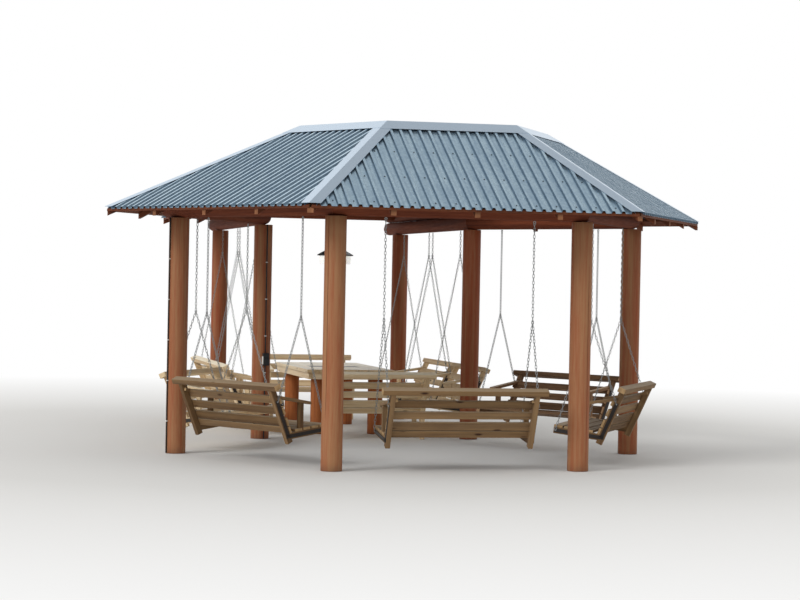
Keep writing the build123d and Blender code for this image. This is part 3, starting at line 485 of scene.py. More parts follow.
def log_patch(start, end, radius, cut_start=None, cut_end=None, tone=0.5, seed=0, cracks=(), around=40):
    """Log: point(t, a) = start + t way + (radius - dip)(side cos a + up sin a), t from cut to cut.

    A cut is a point and a normal: t solves (start + t way + r e(a) - point) . normal = 0.
    """
    rng = np.random.default_rng(seed)
    start, end = np.array(start, float), np.array(end, float)
    length = np.linalg.norm(end - start)
    way = (end - start) / length
    side = np.cross(way, (0.0, 0.0, 1.0))
    side = np.array([1.0, 0.0, 0.0]) if np.linalg.norm(side) < 0.5 else side / np.linalg.norm(side)
    up = np.cross(side, way)
    angle = np.linspace(0, 2 * np.pi, around, endpoint=False)
    for middle, *_ in cracks:
        beside = np.radians(middle + np.array([-3.2, -1.3, -0.7, 0.0, 0.7, 1.3, 3.2])) % (2 * np.pi)
        angle = np.concatenate([angle[np.abs(turn_between(angle, np.radians(middle))) > 0.06], beside])
    angle = np.sort(angle)
    chamfer = min(LOG_CHAMFER, radius * 0.1)
    steps = np.linspace(0, 1, max(int(length / RING_STEP), 2) + 1)[1:-1]
    tip = np.array([0.03, 0.35, 0.7, 1 - chamfer / radius])
    share = np.concatenate([np.zeros(5), steps, np.ones(5)])
    reach = np.concatenate([tip, np.ones(len(steps) + 2), tip[::-1]])
    nudge = np.concatenate([np.zeros(4), [chamfer], np.zeros(len(steps)), [-chamfer], np.zeros(4)])
    t_middle = share[:, None] * length
    wave = sum(np.sin(t_middle * f + p) * np.cos(angle[None, :] * n + q) for f, n, p, q in zip(
        rng.uniform(0.8, 3.5, 4), (1, 2, 3, 5), rng.uniform(0, 6.3, 4), rng.uniform(0, 6.3, 4))) / 4
    grown = radius * (1 - LOG_WAVE * (1 + wave))
    crack, bend = np.zeros_like(grown), np.zeros_like(grown)
    for middle, low, high, depth in cracks:
        away = turn_between(angle[None, :], np.radians(middle))
        window = np.clip((t_middle - low) / CRACK_FADE, 0, 1) * np.clip((high - t_middle) / CRACK_FADE, 0, 1)
        open_share = window * np.exp(-(away / CRACK_HALF) ** 2)
        crack = crack + open_share
        bend = bend + CRACK_SWAY * np.sin(t_middle * 3.1 + middle) * np.exp(-(away / 0.3) ** 2)
        grown = grown - depth * open_share
    turned = (angle[None, :] + bend)[..., None]
    spread = (np.cos(turned) * side + np.sin(turned) * up) * (grown * reach[:, None])[..., None]

    def cut_reach(cut, default):
        if cut is None:
            return np.full(spread.shape[:2], default)
        return ((cut[0] - start - spread) @ cut[1]) / (way @ cut[1])

    first, last = cut_reach(cut_start, 0.0), cut_reach(cut_end, length)
    t = first + (last - first) * share[:, None] + nudge[:, None]
    verts = (start + t[..., None] * way + spread).reshape(-1, 3)
    rows, cols = t.shape
    along_uv = np.concatenate([t, t[:, :1]], axis=1) + seed * 0.37
    round_uv = np.broadcast_to(np.concatenate([angle, [angle[0] + 2 * np.pi]]) * radius, along_uv.shape)
    uv = grid_uv(along_uv, round_uv).reshape(-1, 4, 2)[:, ::-1].reshape(-1, 2)
    tips = [list(range(cols)), list(range((rows - 1) * cols, rows * cols))[::-1]]
    return patch(verts, grid_faces(rows, cols, wrap=True)[:, ::-1].tolist() + tips,
                 np.concatenate([uv, np.zeros((2 * cols, 2))]), tone=tone, end=np.repeat(reach < 0.9, cols),
                 pith=np.repeat(reach, cols) * 0.3, crack=crack.ravel())


# %% Posts
posts = {
    "post_left": (hall[0], 0.62, ((250, 0.02, 0.75, 0.008), (20, 0.9, 2.1, 0.006))),
    "post_front_left": (hall[1], 0.66, ((262, 0.05, 0.95, 0.007), (140, 0.5, 2.3, 0.007))),
    "post_front_right": (hall[2], 0.6, ((275, 0.1, 0.8, 0.006), (60, 0.3, 1.9, 0.007))),
    "post_right": (hall[3], 0.5, ((268, 0.02, 0.4, 0.008),)),
    "post_back_right": (hall[4], 0.34, ((254, 0.15, 2.33, 0.013),)),
    "post_back_left": (hall[5], 0.5, ((262, 0.0, 0.6, 0.009),)),
    "post_bay_left": (bay_left, 0.42, ((300, 0.4, 1.6, 0.007),)),
    "post_bay_right": (bay_right, 0.32, ((240, 0.6, 2.2, 0.008),)),
}
for number, (name, (spot, tone, cracks)) in enumerate(posts.items()):
    surface = log_patch((*spot, 0.0), (*spot, POST_HEIGHT - GAP), POST_RADIUS, tone=tone, seed=number + 1,
                        cracks=cracks, around=56)
    make_piece(name + "_trunk", [surface], [post_wood], [name], smooth=50)


# %% [markdown]
# The lower course is one chain of logs round the hall and out along both sides of the bay. Where two meet
# over a post they are mitred, and one end runs past its post at the left. The upper course carries the
# rafters, and its logs are as thick as the roof's height leaves room for.

# %% Logs over the posts
def heading(a, b):
    """Unit vector in plan from a to b."""
    return (b - a) / np.linalg.norm(b - a)


def flat3(v, z=0.0):
    """Plan vector or point at a height."""
    return np.array([v[0], v[1], z])


def mitre(before, corner, after, side, level):
    """Cut of a log where two meet, half a gap to one side of the corner: a point and a normal."""
    both = heading(before, corner) + heading(corner, after)
    square = both / np.linalg.norm(both)
    return flat3(corner + side * square * GAP / 2, level), flat3(square)


lower_axis, lower_top = POST_HEIGHT + LOG_RADIUS, POST_HEIGHT + 2 * LOG_RADIUS
left_run = bay_left + heading(hall[5], bay_left) * LOG_OVERRUN
right_run = bay_right + heading(hall[4], bay_right) * LOG_OVERRUN
path = [left_run, hall[5], hall[0], hall[1], hall[2], hall[3], hall[4], right_run]
lower_names = ["bay_left", "back_left", "front_left", "front", "front_right", "back_right", "bay_right"]
for k, side_name in enumerate(lower_names):
    start, end = path[k], path[k + 1]
    cut_start = cut_end = None
    if side_name == "front_left":
        start = start - heading(start, end) * CORNER_OVERRUN
    elif side_name != "bay_left":
        cut_start = mitre(path[k - 1], start, end, 1, lower_axis)
    if side_name == "back_left":
        ahead = heading(end, path[k + 2])
        inward = np.array([ahead[1], -ahead[0]])
        inward = -inward if inward @ heading(start, end) > 0 else inward
        cut_end = (flat3(end + inward * (LOG_RADIUS + GAP), lower_axis), flat3(inward))
    elif side_name != "bay_right":
        cut_end = mitre(path[k], end, path[k + 2], -1, lower_axis)
    surface = log_patch(flat3(start, lower_axis), flat3(end, lower_axis), LOG_RADIUS, cut_start, cut_end,
                        tone=0.35 + 0.08 * (k % 4), seed=20 + k)
    make_piece(f"log_{side_name}_trunk", [surface], [beam_wood], [f"log_{side_name}"], smooth=50)


# %% Roof planes, shared by the upper logs and the sheets
def roof_face(face):
    """Start corner, way along the eave, inward way, width, run, pitch, and how far each hip leans in."""
    start, end, top, top_end = eave[face], eave[(face + 1) % 6], opening[face], opening[(face + 1) % 6]
    way = heading(start, end)
    inward = np.array([-way[1], way[0]])
    run = (top - start) @ inward
    pitch = (OPENING_HEIGHT - EAVE_HEIGHT) / run
    return {"start": start, "way": way, "inward": inward, "width": np.linalg.norm(end - start), "run": run,
            "pitch": pitch, "lead": (top - start) @ way, "lag": (end - top_end) @ way}


def fitting_radius(level, pitch):
    """Radius of a log that fills the room between the lower course and rafters under a point of the roof."""
    return (level - BATTEN_DEPTH - RAFTER_DEPTH - lower_top - 2 * GAP) / (1 + np.hypot(1, pitch))


faces_of_hall = [roof_face(k) for k in range(6)]
bay_pitch = (BAY_RIDGE_HEIGHT - BAY_EAVE_HEIGHT) / BAY_EAVE_HALF
middles = (hall + np.roll(hall, -1, axis=0)) / 2
upper_radii = [fitting_radius(EAVE_HEIGHT + f["pitch"] * ((middle - f["start"]) @ f["inward"]), f["pitch"])
               for f, middle in zip(faces_of_hall, middles)]

# %% Upper logs
upper = []
for face, radius in enumerate(upper_radii):
    start, end, axis = hall[face], hall[(face + 1) % 6], lower_top + GAP + radius
    upper.append(log_patch(
        flat3(start, axis), flat3(end, axis), radius, mitre(hall[face - 1], start, end, 1, axis),
        mitre(start, end, hall[(face + 2) % 6], -1, axis), tone=0.4 + 0.05 * face, seed=40 + face))
bay_radius = fitting_radius(BAY_EAVE_HEIGHT + bay_pitch * (BAY_EAVE_HALF - BAY_HALF), bay_pitch)
bay_axis = lower_top + GAP + bay_radius
ring_tip = hall[5][1] + upper_radii[5] / np.cos(np.radians(30)) + upper_radii[4]
for start, end in ((hall[5], left_run), (hall[4], right_run)):
    tip = start + heading(start, end) * (ring_tip - start[1])
    upper.append(log_patch(flat3(tip, bay_axis), flat3(end, bay_axis), bay_radius, tone=0.5,
                           seed=50 + int(start[0])))
tie_reach = BAY_HALF - bay_radius - TIE_CLEARANCE
upper.append(log_patch((-tie_reach, bay_end, bay_axis), (tie_reach, bay_end, bay_axis), TIE_RADIUS, tone=0.4,
                       seed=60))
make_piece("upper_log_course", upper, [beam_wood], ["upper_logs"], smooth=50)

# %% [markdown]
# ## Sawn timber under the roof
#
# Rafters, battens and the curb round the opening keep the shape of their solids. A copy of each is merged
# and its flat faces joined, then its edges get a small bevel. Each face is given a UV that runs along its
# longest edge, because grain runs along a board.

# %% Copies of sawn timbers
END_FACE, TIMBER_BEVEL = 0.13, 0.002


def islands(items, neighbours):
    """Sets of vertices or faces that hang together, in the order of their first ones."""
    done = set()
    for first in items:
        if first not in done:
            island, fresh = set(), {first}
            while fresh:
                item = fresh.pop()
                island.add(item)
                fresh |= neighbours(item) - island
            done |= island
            yield island


def sawn_piece(node, seed):
    """Copy of a CAD node: merged, flats joined, UV along each face's longest edge, one tone per timber."""
    rng = np.random.default_rng(seed)
    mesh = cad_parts[node].data.copy()
    mesh.name = node + "_sawn"
    work = bmesh.new()
    work.from_mesh(mesh)
    bmesh.ops.remove_doubles(work, verts=work.verts, dist=1e-5)
    bmesh.ops.dissolve_limit(work, angle_limit=np.radians(0.5), verts=work.verts, edges=work.edges)
    uv = work.loops.layers.uv.new("surface")
    tone_layer = work.verts.layers.float.new("tone")
    end_layer = work.faces.layers.float.new("end")
    for timber in islands(work.verts, lambda v: {e.other_vert(v) for e in v.link_edges}):
        tone = rng.uniform(0.15, 0.85)
        for v in timber:
            v[tone_layer] = tone
    for face in work.faces:
        edge = max(face.edges, key=lambda e: e.calc_length())
        face[end_layer] = float(edge.calc_length() < END_FACE)
        along = (edge.verts[1].co - edge.verts[0].co).normalized()
        across = face.normal.cross(along)
        for loop in face.loops:
            loop[uv].uv = (loop.vert.co.dot(along), loop.vert.co.dot(across))
    work.to_mesh(mesh)
    work.free()
    mesh.materials.clear()
    mesh.materials.append(roof_wood)
    mesh.polygons.foreach_set("use_smooth", np.zeros(len(mesh.polygons), bool))
    soften(dress(node + "_timber", mesh, [node]), TIMBER_BEVEL, 1)


for seed, node in enumerate(("hall_rafters", "hip_rafters", "bay_rafters", "battens", "curb")):
    sawn_piece(node, 70 + seed)


# %% [markdown]
# ## Ribbed sheets
#
# Each roof face is one run of trapezoid ribs, 94 mm apart, from the eave up to the opening. The profile is
# carried up the slope column by column, and each column stops where the hip's line crosses it. Where the
# bay's roof runs into the hall's, a Boolean takes out what lies under the other roof, as shears would.

# %% Ribbed surface
RIB_PITCH, RIB_HEIGHT, RIB_TOP, RIB_FOOT, SHEET, EDGE_GAP = 0.094, 0.0195, 0.024, 0.042, 0.0012, 0.014
CLEARANCE, EAVE_CLEARANCE, FOOT_BACK, SHEET_LIFT = 0.0385, 0.008, 0.0012, 0.0011
SHEET_ROWS, SHORTEST_COLUMN, SMALLEST_PART = 7, 0.004, 0.02


def rib_feet(width):
    """Places across a sheet where its ribs start and end, spread evenly."""
    count = int((width - 0.02) / RIB_PITCH)
    return (width - count * RIB_PITCH) / 2 + RIB_PITCH * np.arange(count + 1)


def rib_columns(width):
    """Places across the sheet and levels there: foot, crest, crest, foot of each rib, and both edges."""
    middle = rib_feet(width)[:-1] + RIB_PITCH / 2
    place = (middle[:, None] + np.array([-RIB_FOOT, -RIB_TOP, RIB_TOP, RIB_FOOT]) / 2).ravel()
    level = np.tile([0.0, RIB_HEIGHT, RIB_HEIGHT, 0.0], len(middle))
    return np.concatenate([[0.0], place, [width]]), np.concatenate([[0.0], level, [0.0]])


def on_slope(f, place, v, low, level):
    """Points of a roof plane: start + s way + v inward, at plane height + level / cos(slope)."""
    plan = f["start"] + place[..., None] * f["way"] + v[..., None] * f["inward"]
    z = low + f["pitch"] * v + level * np.hypot(1, f["pitch"])
    return np.concatenate([plan, z[..., None]], axis=-1)


def ribbed_patch(f, low, top_line):
    """Sheet: ribs carried up the slope to its top line, column by column."""
    place, level = rib_columns(f["width"])
    top = top_line(place)
    keep = top > SHORTEST_COLUMN
    place, level, top = place[keep], level[keep], top[keep]
    v = FOOT_BACK + np.linspace(0, 1, SHEET_ROWS)[:, None] * (top[None, :] - FOOT_BACK)
    verts = on_slope(f, place[None, :], v, low, level[None, :] + SHEET_LIFT)
    uv = grid_uv(v * np.hypot(1, f["pitch"]), np.broadcast_to(place, v.shape))
    return patch(verts.reshape(-1, 3), grid_faces(*v.shape), uv)


# %% Shears
def cutter(name, low_ring, high_ring):
    """Closed body between two rings of points, used only to cut."""
    count = len(low_ring)
    faces = grid_faces(2, count, wrap=True).tolist()
    faces += [list(range(count))[::-1], list(range(count, 2 * count))]
    mesh = bpy.data.meshes.new(name)
    mesh.from_pydata(np.concatenate([low_ring, high_ring]).tolist(), [], faces)
    work = bmesh.new()
    work.from_mesh(mesh)
    bmesh.ops.recalc_face_normals(work, faces=work.faces)
    work.to_mesh(mesh)
    work.free()
    return link_object(name, mesh)


def ring3(plan, z):
    """Plan points at one height."""
    return np.concatenate([plan, np.full((len(plan), 1), z)], axis=1)


def shear(piece, body):
    """Take a body out of a sheet and keep its large parts."""
    cut = piece.modifiers.new("shear", "BOOLEAN")
    cut.object, cut.operation, cut.solver = body, "DIFFERENCE", "EXACT"
    mesh = bpy.data.meshes.new_from_object(piece.evaluated_get(bpy.context.evaluated_depsgraph_get()))
    piece.modifiers.clear()
    piece.data = mesh
    work = bmesh.new()
    work.from_mesh(mesh)
    scraps = [f for part in islands(work.faces, lambda f: {n for e in f.edges for n in e.link_faces})
              if sum(f.calc_area() for f in part) < SMALLEST_PART for f in part]
    bmesh.ops.delete(work, geom=scraps, context="FACES")
    work.to_mesh(mesh)
    work.free()


def sheet_piece(name, f, low, top_line, cover):
    """Sheet of one roof face, as thick as its metal, and cut under the body that covers it."""
    sheet = make_piece("ribs_" + name, [ribbed_patch(f, low, top_line)], [roof_zinc],
                       ["sheet_" + name], smooth=0)
    shell = sheet.modifiers.new("sheet_metal", "SOLIDIFY")
    shell.thickness, shell.offset = SHEET, 0.0
    if cover:
        shear(sheet, cover)


def hip_line(f, s, gap=0.0):
    """How far up the slope a face reaches at each place across it, between its hips."""
    from_start, from_end = f["run"] * (s - gap) / f["lead"], f["run"] * (f["width"] - gap - s) / f["lag"]
    return np.minimum(np.minimum(from_start, from_end), f["run"])


# %% Sheets of the hall and the bay
opening_back = opening[4][1]
bay_roof_end = bay_end + BAY_OVERHANG
gable = np.array([(-BAY_EAVE_HALF, BAY_EAVE_HEIGHT + EAVE_CLEARANCE), (0, BAY_RIDGE_HEIGHT + CLEARANCE),
                  (BAY_EAVE_HALF, BAY_EAVE_HEIGHT + EAVE_CLEARANCE), (BAY_EAVE_HALF, POST_HEIGHT),
                  (-BAY_EAVE_HALF, POST_HEIGHT)])
near_gable = np.stack([gable[:, 0], np.full(5, opening_back), gable[:, 1]], axis=1)
under_bay = cutter("under_bay", near_gable + (0, bay_roof_end - opening_back, 0), near_gable)
under_hall = cutter("under_hall", ring3(eave, EAVE_HEIGHT + CLEARANCE),
                    ring3(opening, OPENING_HEIGHT + CLEARANCE))

face_names = ["front_left", "front", "front_right", "back_right", "back", "back_left"]
for f, name in zip(faces_of_hall, face_names):
    sheet_piece(name, f, EAVE_HEIGHT, lambda s, f=f: hip_line(f, s, EDGE_GAP),
                under_bay if name.startswith("back") else None)
for turn, name in ((-1.0, "bay_left"), (1.0, "bay_right")):
    f = {"start": np.array([turn * BAY_EAVE_HALF, bay_roof_end if turn < 0 else opening_back]),
         "way": np.array([0.0, turn]), "inward": np.array([-turn, 0.0]), "width": bay_roof_end - opening_back,
         "pitch": bay_pitch}
    sheet_piece(name, f, BAY_EAVE_HEIGHT, lambda s: np.full(len(s), BAY_EAVE_HALF - EDGE_GAP), under_hall)
for body in (under_bay, under_hall):
    bpy.data.objects.remove(body)

# %% [markdown]
# ## Flashings
#
# The folded caps over the hips, the ridge and the opening, and the valley plates, are flat plates, so the
# solids already have their shape and only need the metal.

# %% Flashings keep their solids
for node in ("hip_and_ridge_caps", "top_cap", "valley_flashings"):
    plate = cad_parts[node]
    plate.data.materials.clear()
    plate.data.materials.append(flash_zinc)
    print(node, "dressed")


# %% [markdown]
# ## Repeated small things
#
# Screw heads and chain links come by the hundred. One low shape is turned and moved by an array of
# frames, all at once, and stays at a few dozen faces.

# %% Copies of one small shape
def scatter(verts, faces, origins, turns):
    """Copies: vertex(i, j) = origin(i) + turn(i) . vertex(j), with the faces renumbered."""
    placed = origins[:, None, :] + np.einsum("nij,vj->nvi", turns, verts)
    numbered = faces[None] + (np.arange(len(origins)) * len(verts))[:, None, None]
    uv = np.tile(np.array([[0, 0], [0.02, 0], [0.02, 0.02], [0, 0.02]]), (faces.shape[0] * len(origins), 1))
    return patch(placed.reshape(-1, 3), numbered.reshape(-1, 4), uv)


def turned_shape(radii, levels, around):
    """Shape turned on an axis: point(i, a) = (r cos a, r sin a, level), closed by its own narrow ends."""
    a = np.linspace(0, 2 * np.pi, around, endpoint=False)
    r, z = np.array(radii)[:, None], np.array(levels)[:, None]
    verts = np.stack([r * np.cos(a), r * np.sin(a), z + 0 * a], axis=-1).reshape(-1, 3)
    return verts, grid_faces(len(radii), around, wrap=True)


screw_verts, screw_faces = turned_shape((0.0002, 0.0085, 0.0085, 0.0045, 0.0042, 0.0002),
                                        (-0.0005, -0.0005, 0.0015, 0.0022, 0.0062, 0.0064), 6)
SCREW_LIFT, SCREW_BATTENS = 0.0017, (0.06, 0.35, 0.65, 0.93)
HIP_MARGIN, SIDE_MARGIN, BAY_MARGIN = 0.10, 0.05, 0.12


# %% Roof screws
def screw_rows(f):
    """Places of screws in the pans between ribs, one pan in two, along each batten of a hall face."""
    s, v = np.meshgrid(rib_feet(f["width"])[::2], np.array(SCREW_BATTENS) * f["run"])
    s, v = s.ravel(), v.ravel()
    inside = (v < hip_line(f, s) - HIP_MARGIN) & (s > SIDE_MARGIN) & (s < f["width"] - SIDE_MARGIN)
    spots = on_slope(f, s[inside], v[inside], EAVE_HEIGHT, SCREW_LIFT)
    normal = np.array([*(-f["pitch"] * f["inward"]), 1.0]) / np.hypot(1, f["pitch"])
    slope = np.array([*f["inward"], f["pitch"]]) / np.hypot(1, f["pitch"])
    turn = np.stack([np.cross(slope, normal), slope, normal], axis=1)
    x, y, z = spots.T
    on_bay = BAY_EAVE_HEIGHT + bay_pitch * (BAY_EAVE_HALF - np.abs(x)) + BAY_MARGIN
    spots = spots[(np.abs(x) > BAY_EAVE_HALF + SIDE_MARGIN) | (y < opening_back) | (z > on_bay)]
    return spots, np.broadcast_to(turn, (len(spots), 3, 3))


places, turns = zip(*[screw_rows(f) for f in faces_of_hall])
screws = scatter(screw_verts, screw_faces, np.concatenate(places), np.concatenate(turns))
make_piece("roof_screws", [screws], [screw_dark], smooth=0)


# %% [markdown]
# ## Benches
#
# The benches are bolted up from planed boards: a frame at each end, four boards for the back, four for
# the seat, a wide rail on top, and arms. Every board is its own box with its own shade and a slight
# misfit, since a bench cut from one block would show no joints. The bevel comes from a modifier.

# %% Boards in a bench's own plan
HEEL_SETBACK, SEAT_RISE, BACK_LEAN, BACK_LENGTH = 0.100, 7, 24, 0.455
SEAT_DEPTH, LEG_LENGTH, FRAME_WIDTH, FRAME_DEPTH, BOARD = 0.450, 0.090, 0.045, 0.060, 0.025
ARM_WIDTH, ARM_THICK, ARM_LENGTH, ARM_LEVEL, ARM_DROP, ARM_POST_SETBACK = 0.070, 0.028, 0.400, 0.350, 9, 0.090
RAIL_WIDTH, RAIL_THICK, RAIL_OVERHANG = 0.072, 0.050, 0.080
BACK_ROWS = ((-0.008, 0.066), (0.068, 0.080), (0.184, 0.072), (0.296, 0.074))
SEAT_BOARDS, SEAT_GAP, SEAT_FIRST, FRONT_LEG, LEG_INSIDE, LOOSE = 4, 0.014, 0.066, 0.395, 0.0008, 0.0015


def tilt(degrees, upright=False):
    """Unit (forward, up) of a slope, or of a lean back from upright."""
    a = np.radians(degrees)
    return np.array([-np.sin(a), np.cos(a)]) if upright else np.array([np.cos(a), np.sin(a)])


back_way, seat_way, arm_way = tilt(BACK_LEAN, True), tilt(SEAT_RISE), tilt(-ARM_DROP)


def strip(start, way, near, far, low, high):
    """Four corners of a board's section: near to far along a way, low to high to its left."""
    aside = np.array([-way[1], way[0]])
    corners = ((near, low), (far, low), (far, high), (near, high))
    return np.array([start + way * r + aside * h for r, h in corners])


# %% One board
def board_patch(corner_sets, tone, skin=0):
    """Board: section corners carried from one end to the other; UV runs along and round it."""
    ends = np.stack(corner_sets)
    long_way = ends[1].mean(0) - ends[0].mean(0)
    length = np.linalg.norm(long_way)
    round_step = np.linalg.norm(np.roll(ends[0], -1, axis=0) - ends[0], axis=1)
    if max(round_step) > length:
        long_side = int(np.argmax(round_step))
        along_axis = np.roll(ends[0], -1, axis=0)[long_side] - ends[0][long_side]
    else:
        along_axis = long_way
    along_axis = along_axis / np.linalg.norm(along_axis)
    verts = ends.reshape(-1, 3)
    middle = verts.mean(0)
    faces = grid_faces(2, 4, wrap=True).tolist() + [[3, 2, 1, 0], [4, 5, 6, 7]]
    corners = verts[np.array(faces)]
    normal = np.cross(corners[:, 1] - corners[:, 0], corners[:, 2] - corners[:, 1])
    outward = np.einsum("ij,ij->i", normal, corners.mean(1) - middle)
    faces = [f if o > 0 else f[::-1] for f, o in zip(faces, outward)]
    corners = verts[np.array(faces)]
    normal = normal / np.linalg.norm(normal, axis=1)[:, None]
    across = np.cross(normal, along_axis)
    size = np.linalg.norm(across, axis=1)
    across = np.where(size[:, None] > 0.5, across, np.cross(normal, normal[[0]] + 0.3))
    u = np.where(size[:, None] > 0.5, corners @ along_axis, corners @ along_axis * 0.04)
    v = np.einsum("fcj,fj->fc", corners, across)
    sawn = np.abs(normal @ along_axis) > 0.8
    return patch(verts, faces, np.stack([u, v], axis=-1).reshape(-1, 2) + tone * 5, skin, sawn, tone=tone)


def plank(base, facing, section, first, last, tone, slip=(0.0, 0.0), skin=0):
    """Board of a bench: its section in (forward, up), from first to last across, its ends slipped."""
    across, forward, origin = flat3((facing[1], -facing[0])), flat3(facing), flat3(base)
    ends = [origin + across * reach + section[:, :1] * forward + (section[:, 1:] + drop) * (0, 0, 1)
            for reach, drop in zip((first, last), slip)]
    return board_patch(ends, tone, skin)


# %% All boards of a bench
def bench_patches(base, facing, length, heel_level, standing, rng):
    """All boards of a bench, as the carpenter lists them."""
    heel, half, boards = np.array([-HEEL_SETBACK, heel_level]), length / 2, []

    def cut(section, first, last, loose=0.0):
        slip = rng.uniform(-loose, 0.0, 2)
        boards.append(plank(base, facing, section, *sorted((first, last)), rng.uniform(0.05, 0.95), slip))

    width = (SEAT_DEPTH - SEAT_FIRST - (SEAT_BOARDS - 1) * SEAT_GAP) / SEAT_BOARDS
    arm_back = heel + back_way * ARM_LEVEL
    x, top = arm_back + arm_way * (ARM_LENGTH - ARM_POST_SETBACK)
    foot = heel_level + (x - heel[0]) * np.tan(np.radians(SEAT_RISE))
    arm_post = np.array([(x - FRAME_WIDTH, foot - 0.003), (x, foot), (x, top + 0.002),
                         (x - FRAME_WIDTH, top + 0.009)])
    for side in (-1, 1):
        outer, inner = side * half, side * (half - FRAME_WIDTH)
        cut(strip(heel, back_way, -LEG_LENGTH, BACK_LENGTH, 0, FRAME_DEPTH), outer, inner)
        cut(strip(heel, seat_way, 0.0005, SEAT_DEPTH, -FRAME_DEPTH, 0), outer, inner)
        for front in (heel[0], heel[0] + FRONT_LEG) if standing else ():
            back = front - FRAME_DEPTH
            cut(np.array([(back, 0), (front, 0), (front, heel_level), (back, heel_level)]),
                outer - side * LEG_INSIDE, inner + side * LEG_INSIDE)
        cut(strip(arm_back, arm_way, -FRAME_DEPTH, ARM_LENGTH, 0, ARM_THICK), outer,
            side * (half - ARM_WIDTH))
        cut(arm_post, side * (half - 0.001), inner)
    for near, wide in BACK_ROWS:
        cut(strip(heel, back_way, near, near + wide, -BOARD, -0.0006), -half, half, LOOSE)
    for near in SEAT_FIRST + np.arange(SEAT_BOARDS) * (width + SEAT_GAP):
        cut(strip(heel, seat_way, near, near + width, 0.0006, BOARD), -half, half, LOOSE)
    low, high = (FRAME_DEPTH - RAIL_WIDTH) / 2, (FRAME_DEPTH + RAIL_WIDTH) / 2
    cut(strip(heel, back_way, BACK_LENGTH, BACK_LENGTH + RAIL_THICK, low, high), -half - RAIL_OVERHANG,
        half + RAIL_OVERHANG)
    return boards


# %% Where the swings hang
SWING_HEEL, STANDING_LENGTH = 0.320, 1.060
HALL_BENCH, HALL_RING, BAY_BENCH, BAY_RING = 1.400, 1.400, 1.270, 2.050
BAY_SWINGS = {"near": 1.140, "far": 2.605}
swings = []
for face, name in enumerate(face_names):
    if name != "back":
        way = heading(hall[face], hall[(face + 1) % 6])
        swings.append((name, middles[face], np.array([-way[1], way[0]]), HALL_BENCH, HALL_RING))
for side_name, start, end, turn in (("bay_left", hall[5], bay_left, -1),
                                    ("bay_right", hall[4], bay_right, 1)):
    way = heading(start, end)
    for place_name, place in BAY_SWINGS.items():
        swings.append((f"{side_name}_{place_name}", start + way * place, np.array([-way[1], way[0]]) * turn,
                       BAY_BENCH, BAY_RING))
# Swings that are not listed take the pale boards, whose paleness is partly painted light.
finish_of = {"front": bench_wood, "front_left": bench_wood, "front_right": bench_wood,
             "back_right": shade_lightened_wood}
for number, (name, spot, facing, length, ring_height) in enumerate(swings):
    boards = bench_patches(spot, facing, length, SWING_HEEL, False, np.random.default_rng(100 + number))
    soften(make_piece(f"swing_bench_{name}", boards, [finish_of.get(name, pale_lit_wood)],
                      ["bench_" + name], smooth=0, body="swing_" + name))
# The standing benches take the pale boards, whose paleness is partly painted light.
for name, x, y, turn, heel_level in (("near", 0.125, 2.110, 1.0, 0.285), ("far", 0.020, 5.640, -1.0, 0.325)):
    boards = bench_patches(hall_centre + (x, y), np.array([0.0, turn]), STANDING_LENGTH, heel_level, True,
                           np.random.default_rng(120 + int(heel_level * 100)))
    soften(make_piece(f"standing_bench_{name}", boards, [pale_lit_wood],
                      ["bench_standing_" + name], smooth=0))

# %% [markdown]
# ## Chains and straps
#
# Under each log two eye bolts carry a short-link chain. It parts at a ring into two runs, one to the top of
# a black strap up the bench's back and one to the strap's toe under the seat. Links turn a quarter from one
# to the next. A curve with an array modifier could do it, but placing links from arrays keeps the ends
# exactly on the eye and the strap.

# %% Links
WIRE, LINK_WIDTH, LINK_PITCH = 0.0026, 0.0085, 0.031


def link_shape(pitch):
    """Link: a stadium in the xz plane, half width LINK_WIDTH, with a round wire of four sides swept on it."""
    a = np.linspace(0, 2 * np.pi, 12, endpoint=False)
    half = pitch / 2 + WIRE - LINK_WIDTH * 0.75
    x, z = LINK_WIDTH * np.cos(a), LINK_WIDTH * 0.75 * np.sin(a) + half * np.sign(np.round(np.sin(a), 6))
    out = np.stack([np.cos(a), 0 * a, np.sin(a)], axis=-1)[:, None]
    middle = np.stack([x, 0 * a, z], axis=-1)[:, None]
    b = (np.linspace(0, 2 * np.pi, 4, endpoint=False) + np.pi / 4)[None, :, None]
    ring = middle + WIRE * 1.2 * (np.cos(b) * out + np.sin(b) * np.array([0.0, 1.0, 0.0]))
    return ring.reshape(-1, 3), grid_faces(12, 4, wrap=True, closed=True)[:, ::-1]


def chain_patch(start, end, aside):
    """Links from start to end: evenly placed, every second one turned by a quarter."""
    length = np.linalg.norm(end - start)
    way = (end - start) / length
    count = max(int(round(length / LINK_PITCH)), 2)
    other = np.cross(way, aside)
    even, odd = np.stack([aside, other, way], axis=1), np.stack([other, -aside, way], axis=1)
    turns = np.where((np.arange(count) % 2 == 0)[:, None, None], even, odd)
    spots = start + (np.arange(count)[:, None] + 0.5) * way * length / count
    return scatter(*link_shape(length / count), spots, turns)


# %% Straps, rings and bolts
STRAP_WIDTH, STRAP_THICK, STRAP_UP, STRAP_OUT, STRAP_PAST = 0.034, 0.005, 0.330, 0.430, 0.012
CHAIN, EYE, RING_RADIUS, RING_WIRE, EYE_WIRE = 0.009, 0.009, 0.011, 0.003, 0.0035
EYE_LEVEL = POST_HEIGHT - GAP - EYE
upward = np.array([0.0, 0.0, 1.0])
bolt = turned_shape((0.0002, 0.008, 0.008, 0.0002), (-0.003, -0.003, 0.004, 0.005), 6)


